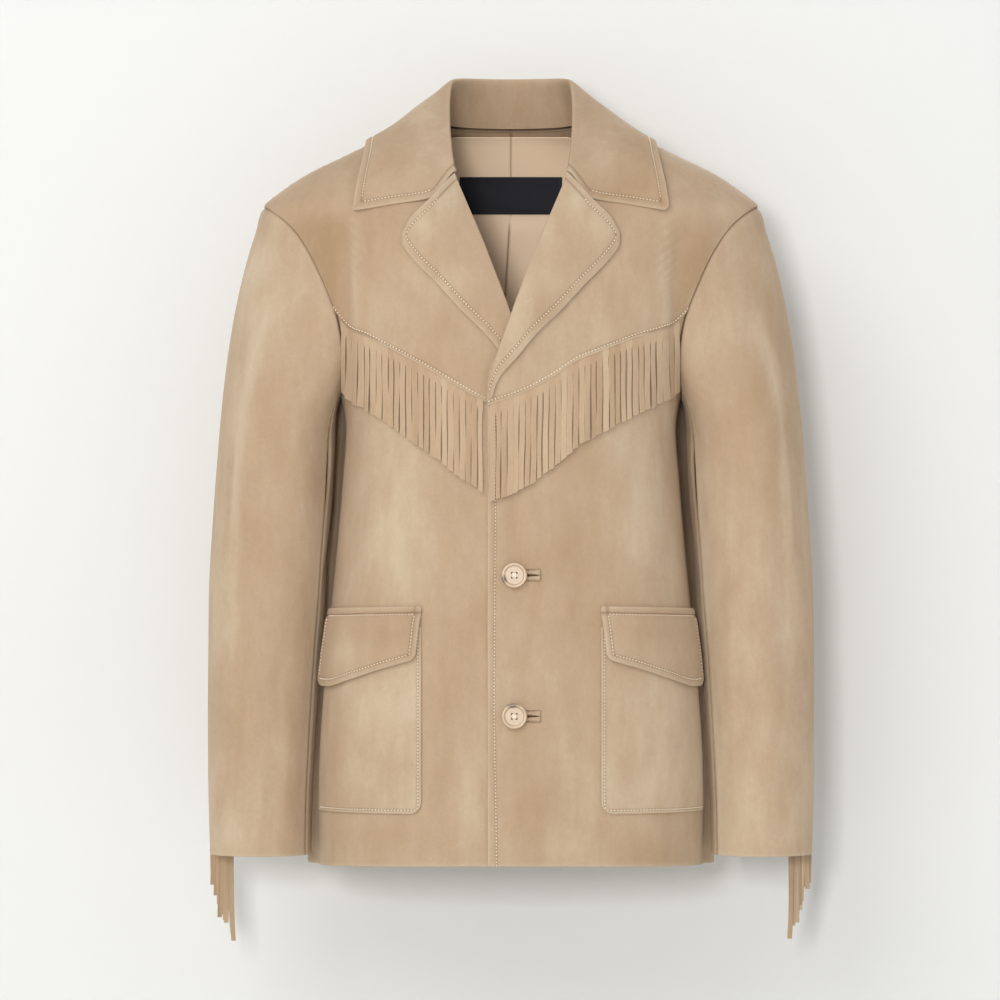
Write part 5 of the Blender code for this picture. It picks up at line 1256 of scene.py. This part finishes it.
colour = mixColours(napTree, darker, colour, given["Dark"])
colour = mixColours(napTree, maths(napTree, "MULTIPLY", given["Edge"], 0.42), colour, given["Pale"])
deep = mixColours(napTree, 1.0, given["Dark"], (0.30, 0.25, 0.20, 1.0), "MULTIPLY")
colour = mixColours(napTree, maths(napTree, "MULTIPLY", given["Seam"], 0.52), colour, deep)
grain = maths(napTree, "MULTIPLY_ADD", fibres, 0.20, 0.90)
colour = addNode(napTree, "ShaderNodeVectorMath", {0: colour, "Scale": grain}, operation="SCALE").outputs[0]
napTree.links.new(colour, result["Color"])
napTree.links.new(maths(napTree, "MULTIPLY_ADD", tone, 0.05, 0.90), result["Roughness"])
height = maths(napTree, "MULTIPLY_ADD", fibres, 0.45, maths(napTree, "MULTIPLY", mottle, 0.55))
napTree.links.new(height, result["Height"])


# Material with its node tree and its shader
def newMaterial(name):
    made = bpy.data.materials.new(name)
    made.use_nodes = True
    tree = made.node_tree
    return made, tree, tree.nodes["Principled BSDF"]


# Attribute by name
def attribute(tree, name):
    return addNode(tree, "ShaderNodeAttribute", attribute_name=name).outputs["Fac"]


# Suede finish: the nap group feeds colour, roughness and bump
def suedeMaterial(name, dark, middle, pale, contrast, sheen):
    made, tree, shader = newMaterial(name)
    place = addNode(tree, "ShaderNodeTexCoord").outputs["Object"]
    napAndPaintedLight = addNode(tree, "ShaderNodeGroup", node_tree=napTree)
    values = {"Place": place, "Dark": linear(dark), "Middle": linear(middle), "Pale": linear(pale),
              "NapAndPaintedLight": attribute(tree, "napAndPaintedLight"), "Edge": attribute(tree, "edgeWear"),
              "Seam": attribute(tree, "seamShade"), "Shade": attribute(tree, "shade"), "Contrast": contrast}
    for key, value in values.items():
        if isinstance(value, bpy.types.NodeSocket):
            tree.links.new(value, napAndPaintedLight.inputs[key])
        else:
            napAndPaintedLight.inputs[key].default_value = value
    bump = addNode(tree, "ShaderNodeBump", {"Height": napAndPaintedLight.outputs["Height"], "Strength": 0.55, "Distance": 0.0006})
    tree.links.new(napAndPaintedLight.outputs["Color"], shader.inputs["Base Color"])
    tree.links.new(napAndPaintedLight.outputs["Roughness"], shader.inputs["Roughness"])
    tree.links.new(bump.outputs[0], shader.inputs["Normal"])
    shader.inputs["Specular IOR Level"].default_value = 0.12
    shader.inputs["Sheen Weight"].default_value = sheen
    shader.inputs["Sheen Roughness"].default_value = 0.45
    shader.inputs["Sheen Tint"].default_value = linear("#efe2cd")
    return made


suede = suedeMaterial("suedeTan", "#a18566", "#b49b80", "#cab79d", 0.72, 0.16)
strands = suedeMaterial("suedeStrands", "#a38768", "#b69c80", "#cab596", 0.6, 0.12)

# satin lining: painted sheen and shade of soft broad folds, a fine twill and a gentle gloss
lining, tree, shader = newMaterial("liningSatin")
place = addNode(tree, "ShaderNodeTexCoord").outputs["Object"]
broad = noise(tree, place, 16.0, (1.0, 1.0, 0.4), 2.0, 0.5)
flat = addNode(tree, "ShaderNodeUVMap", uv_map="UVMap").outputs[0]
twill = addNode(tree, "ShaderNodeTexWave",
                {"Vector": flat, "Scale": 620.0, "Distortion": 0.6, "Detail": 1.0},
                bands_direction="DIAGONAL").outputs["Fac"]
mixed = maths(tree, "MULTIPLY_ADD", broad, 0.7, 0.1)
# the shade mark brings in the painted light and shadow of the lining
mixed = maths(tree, "MULTIPLY_ADD", attribute(tree, "shade"), 0.30, mixed)
colour = mixColours(tree, mixed, linear("#f8d8b4"), linear("#fce2c4"))
seamy = maths(tree, "MULTIPLY", attribute(tree, "seamShade"), 0.75)
colour = mixColours(tree, seamy, colour, linear("#7a6043"))
bump = addNode(tree, "ShaderNodeBump", {"Height": twill, "Strength": 0.25, "Distance": 0.0002})
tree.links.new(colour, shader.inputs["Base Color"])
tree.links.new(maths(tree, "MULTIPLY_ADD", twill, 0.10, 0.40), shader.inputs["Roughness"])
tree.links.new(bump.outputs[0], shader.inputs["Normal"])
shader.inputs["Specular IOR Level"].default_value = 0.4
shader.inputs["Sheen Weight"].default_value = 0.15

# label: plain black woven tape
label, tree, shader = newMaterial("labelTape")
flat = addNode(tree, "ShaderNodeUVMap", uv_map="UVMap").outputs[0]
warp = addNode(tree, "ShaderNodeTexWave", {"Vector": flat, "Scale": 420.0}, bands_direction="X").outputs["Fac"]
weft = addNode(tree, "ShaderNodeTexWave", {"Vector": flat, "Scale": 420.0}, bands_direction="Y").outputs["Fac"]
weave = maths(tree, "MAXIMUM", warp, weft)
colour = mixColours(tree, weave, linear("#15151a"), linear("#2c2c33"))
colour = mixColours(tree, attribute(tree, "seamShade"), colour, linear("#3a3a44"))
bump = addNode(tree, "ShaderNodeBump", {"Height": weave, "Strength": 0.4, "Distance": 0.0002})
tree.links.new(colour, shader.inputs["Base Color"])
tree.links.new(maths(tree, "MULTIPLY_ADD", weave, 0.15, 0.60), shader.inputs["Roughness"])
tree.links.new(bump.outputs[0], shader.inputs["Normal"])
shader.inputs["Specular IOR Level"].default_value = 0.25


# Horn-like button: cloudy beige with one dark streaked spot near the rim, and painted shade in its four pits
def hornMaterial(name, spotX, spotY, sizeX, sizeY):
    made, tree, shader = newMaterial(name)
    x, y = attribute(tree, "localX"), attribute(tree, "localY")
    local = addNode(tree, "ShaderNodeCombineXYZ", {0: x, 1: y, 2: 0.0}).outputs[0]
    cloud = noise(tree, local, 1.6, (1.0, 2.0, 1.0), 3.0, 0.6)
    streak = noise(tree, local, 5.0, (0.8, 4.0, 1.0), 4.0, 0.7)
    dx = maths(tree, "DIVIDE", maths(tree, "SUBTRACT", x, spotX), sizeX)
    dy = maths(tree, "DIVIDE", maths(tree, "SUBTRACT", y, spotY), sizeY)
    far = maths(tree, "ADD", maths(tree, "MULTIPLY", dx, dx), maths(tree, "MULTIPLY", dy, dy))
    far = maths(tree, "SQRT", far)
    far = maths(tree, "MULTIPLY_ADD", maths(tree, "SUBTRACT", streak, 0.5), 1.6, far)
    spot = addNode(tree, "ShaderNodeMapRange", {"Value": far, 1: 1.0, 2: 0.35, 3: 0.0, 4: 0.85}).outputs[0]
    colour = mixColours(tree, cloud, linear("#a98d6f"), linear("#c6ab8c"))
    colour = mixColours(tree, spot, colour, linear("#5d4a3c"))
    # painted shade in the pits
    pitted = maths(tree, "MULTIPLY", attribute(tree, "pit"), 0.9)
    colour = mixColours(tree, pitted, colour, linear("#2c2018"))
    bump = addNode(tree, "ShaderNodeBump", {"Height": streak, "Strength": 0.08, "Distance": 0.0003})
    tree.links.new(colour, shader.inputs["Base Color"])
    tree.links.new(maths(tree, "MULTIPLY_ADD", streak, 0.14, 0.26), shader.inputs["Roughness"])
    tree.links.new(bump.outputs[0], shader.inputs["Normal"])
    shader.inputs["Specular IOR Level"].default_value = 0.45
    shader.inputs["Coat Weight"].default_value = 0.15
    shader.inputs["Coat Roughness"].default_value = 0.2
    return made


# sewing thread: twisted ply as fine slanting bands
cotton, tree, shader = newMaterial("sewingThread")
place = addNode(tree, "ShaderNodeTexCoord").outputs["Object"]
ply = addNode(tree, "ShaderNodeTexWave", {"Vector": place, "Scale": 900.0, "Distortion": 1.0},
              bands_direction="DIAGONAL").outputs["Fac"]
colour = mixColours(tree, ply, linear("#ead7b6"), linear("#fff5e2"))
bump = addNode(tree, "ShaderNodeBump", {"Height": ply, "Strength": 0.4, "Distance": 0.0001})
tree.links.new(colour, shader.inputs["Base Color"])
tree.links.new(maths(tree, "MULTIPLY_ADD", ply, 0.1, 0.6), shader.inputs["Roughness"])
tree.links.new(bump.outputs[0], shader.inputs["Normal"])
shader.inputs["Specular IOR Level"].default_value = 0.3
print("finishes made")


# Pieces put in place, each with the size that its cloth was cut to
cuts = {
    # width, length, how it is held, what carries it
    "yoke": (0.255, 0.300, "hung", ("back_left", "back_right")),
    "front": (0.330, 0.530, "hung", ("yoke_left", "yoke_right")),
    "back": (0.330, 0.740, "hung", ("yoke_left", "yoke_right")),
    "sleeve_top": (0.220, 0.640, "hung", ("yoke_left", "yoke_right")),
    "sleeve_under": (0.220, 0.560, "hung", ("back_left", "back_right")),
    "lapel": (0.115, 0.235, "folded", ("yoke_left", "yoke_right")),
    "collar": (0.560, 0.160, "folded", ("back_left", "back_right")),
    "pocket_flap": (0.125, 0.084, "laid", ("pocket_left", "pocket_right")),
    "pocket": (0.125, 0.180, "laid", ("front_left", "front_right")),
    "fringe_chest": (0.185, 0.098, "hung", ("yoke_left", "yoke_right")),
    "fringe_sleeve": (0.068, 0.105, "hung", ("sleeve_top_left", "sleeve_top_right"))}
for name, (mesh, area, nodes) in suedePieces.items():
    key = max((k for k in cuts if name.startswith(k)), key=len)
    width, length, held, carried = cuts[key]
    isFringe = key.startswith("fringe")
    if isFringe and "chest" in key:
        width = 0.185 if "left" in name else 0.140
    piece = addPiece(name, mesh, strands if isFringe else suede,
                     "suede_fringe" if isFringe else "suede", *nodes)
    print(name, "cut", round(area / (width * length), 3))
liningPiece = addPiece("lining_satin", liningMesh, lining, "lining", "lining_back")
labelPiece = addPiece("label_tape", labelMesh, label, "label", "neck_label")
spots = {"upper": (-0.80, -0.35, 0.34, 0.42), "lower": (-0.15, 0.82, 0.62, 0.26)}
for word in ("upper", "lower"):
    horn = hornMaterial(f"horn{word.title()}", *spots[word])
    addPiece(f"button_{word}_horn", buttonMeshes[word], horn, "button", f"button_{word}")
    addPiece(f"buttonhole_{word}_welts", buttonholeMeshes[word], suede, "suede", f"buttonhole_{word}")
points, faces = joined(stitchParts)
addPiece("stitching", newMesh("stitching", points, faces), cotton, "suede")
points, faces = joined(threadParts)
addPiece("button_thread", newMesh("button_thread", points, faces), cotton, "suede")
print("stitches", len(points))

# Stage, camera and light
studio = {"floorZ": -0.98, "wallY": 0.185, "reach": 3.2, "wallTop": 2.2,
          "paper": "#e0e0dd", "palePaper": "#e5e5e2"}


# Flat sheet of the stage from four corners, divided into a grid
def stageSheet(name, corners, material):
    share = np.linspace(0.0, 1.0, 5)
    grid = patch(corners[:2], corners[3:1:-1], np.array([corners[0], corners[3]]),
                 np.array([corners[1], corners[2]]), share, share)
    number = np.arange(25).reshape(5, 5)
    faces = np.stack([number[:-1, :-1], number[:-1, 1:], number[1:, 1:], number[1:, :-1]], -1).reshape(-1, 4)
    mesh = bpy.data.meshes.new(name)
    mesh.from_pydata(grid.reshape(-1, 3).tolist(), [], faces.tolist())
    mesh.materials.append(material)
    made = bpy.data.objects.new(name, mesh)
    bpy.context.scene.collection.objects.link(made)
    return made


# Paper of the stage: matt, faintly mottled; the wall lets light through and is clear from behind
def paperMaterial(name, clearBehind):
    made, tree, shader = newMaterial(name)
    place = addNode(tree, "ShaderNodeTexCoord").outputs["Object"]
    mottled = noise(tree, place, 1.2)
    paper = mixColours(tree, mottled, linear(studio["paper"]), linear(studio["palePaper"]))
    tree.links.new(paper, shader.inputs["Base Color"])
    shader.inputs["Roughness"].default_value = 0.95
    shader.inputs["Specular IOR Level"].default_value = 0.05
    if clearBehind:
        behind = tree.nodes.new("ShaderNodeNewGeometry").outputs["Backfacing"]
        shadowRay = tree.nodes.new("ShaderNodeLightPath").outputs["Is Shadow Ray"]
        clear = tree.nodes.new("ShaderNodeBsdfTransparent")
        mixed = addNode(tree, "ShaderNodeMixShader", {0: maths(tree, "MAXIMUM", behind, shadowRay)})
        tree.links.new(shader.outputs[0], mixed.inputs[1])
        tree.links.new(clear.outputs[0], mixed.inputs[2])
        tree.links.new(mixed.outputs[0], tree.nodes["Material Output"].inputs["Surface"])
    return made


reach, wallY, floorZ, wallTop = studio["reach"], studio["wallY"], studio["floorZ"], studio["wallTop"]
stageSheet("backdrop", np.array([(-reach, wallY, floorZ), (reach, wallY, floorZ), (reach, wallY, wallTop),
                                 (-reach, wallY, wallTop)]), paperMaterial("paperWall", True))
stageSheet("floor", np.array([(-reach, -reach * 1.6, floorZ), (reach, -reach * 1.6, floorZ),
                              (reach, reach * 1.6, floorZ), (-reach, reach * 1.6, floorZ)]),
           paperMaterial("paperFloor", False))

cameraUser = {"distance": 5.5, "height": -0.3515, "frame": 0.95, "centre": -0.01045}
camera = bpy.data.cameras.new("camera")
camera.sensor_width = 36.0
camera.lens = 36.0 * cameraUser["distance"] / cameraUser["frame"]
cameraThing = bpy.data.objects.new("camera", camera)
cameraThing.location = (cameraUser["centre"], -cameraUser["distance"], cameraUser["height"])
cameraThing.rotation_euler = (math.pi / 2, 0.0, 0.0)
bpy.context.scene.collection.objects.link(cameraThing)
bpy.context.scene.camera = cameraThing


# Area light aimed at a point
def areaLight(name, place, aim, size, energy, colour):
    light = bpy.data.lights.new(name, "AREA")
    light.shape = "SQUARE"
    light.size = size
    light.energy = energy
    light.color = colour
    made = bpy.data.objects.new(name, light)
    made.location = place
    made.rotation_euler = (Vector(aim) - Vector(place)).to_track_quat("-Z", "Y").to_euler()
    bpy.context.scene.collection.objects.link(made)


areaLight("key", (-0.50, -5.2, 0.0), (0, 0, -0.35), 0.6, 104.0, (1.0, 0.995, 0.985))
areaLight("window", (-2.1, -4.3, 2.4), (0, 0, -0.35), 2.6, 74.0, (1.0, 0.99, 0.975))
areaLight("back", (1.2, 3.6, 2.2), (0, 0, -0.35), 2.4, 60.0, (1.0, 0.99, 0.97))
world = bpy.data.worlds.new("studio")
world.use_nodes = True
world.node_tree.nodes["Background"].inputs["Color"].default_value = (0.93, 0.95, 1.0, 1.0)
world.node_tree.nodes["Background"].inputs["Strength"].default_value = 0.64
bpy.context.scene.world = world
bpy.context.scene.view_settings.view_transform = "Standard"

print("scene done")
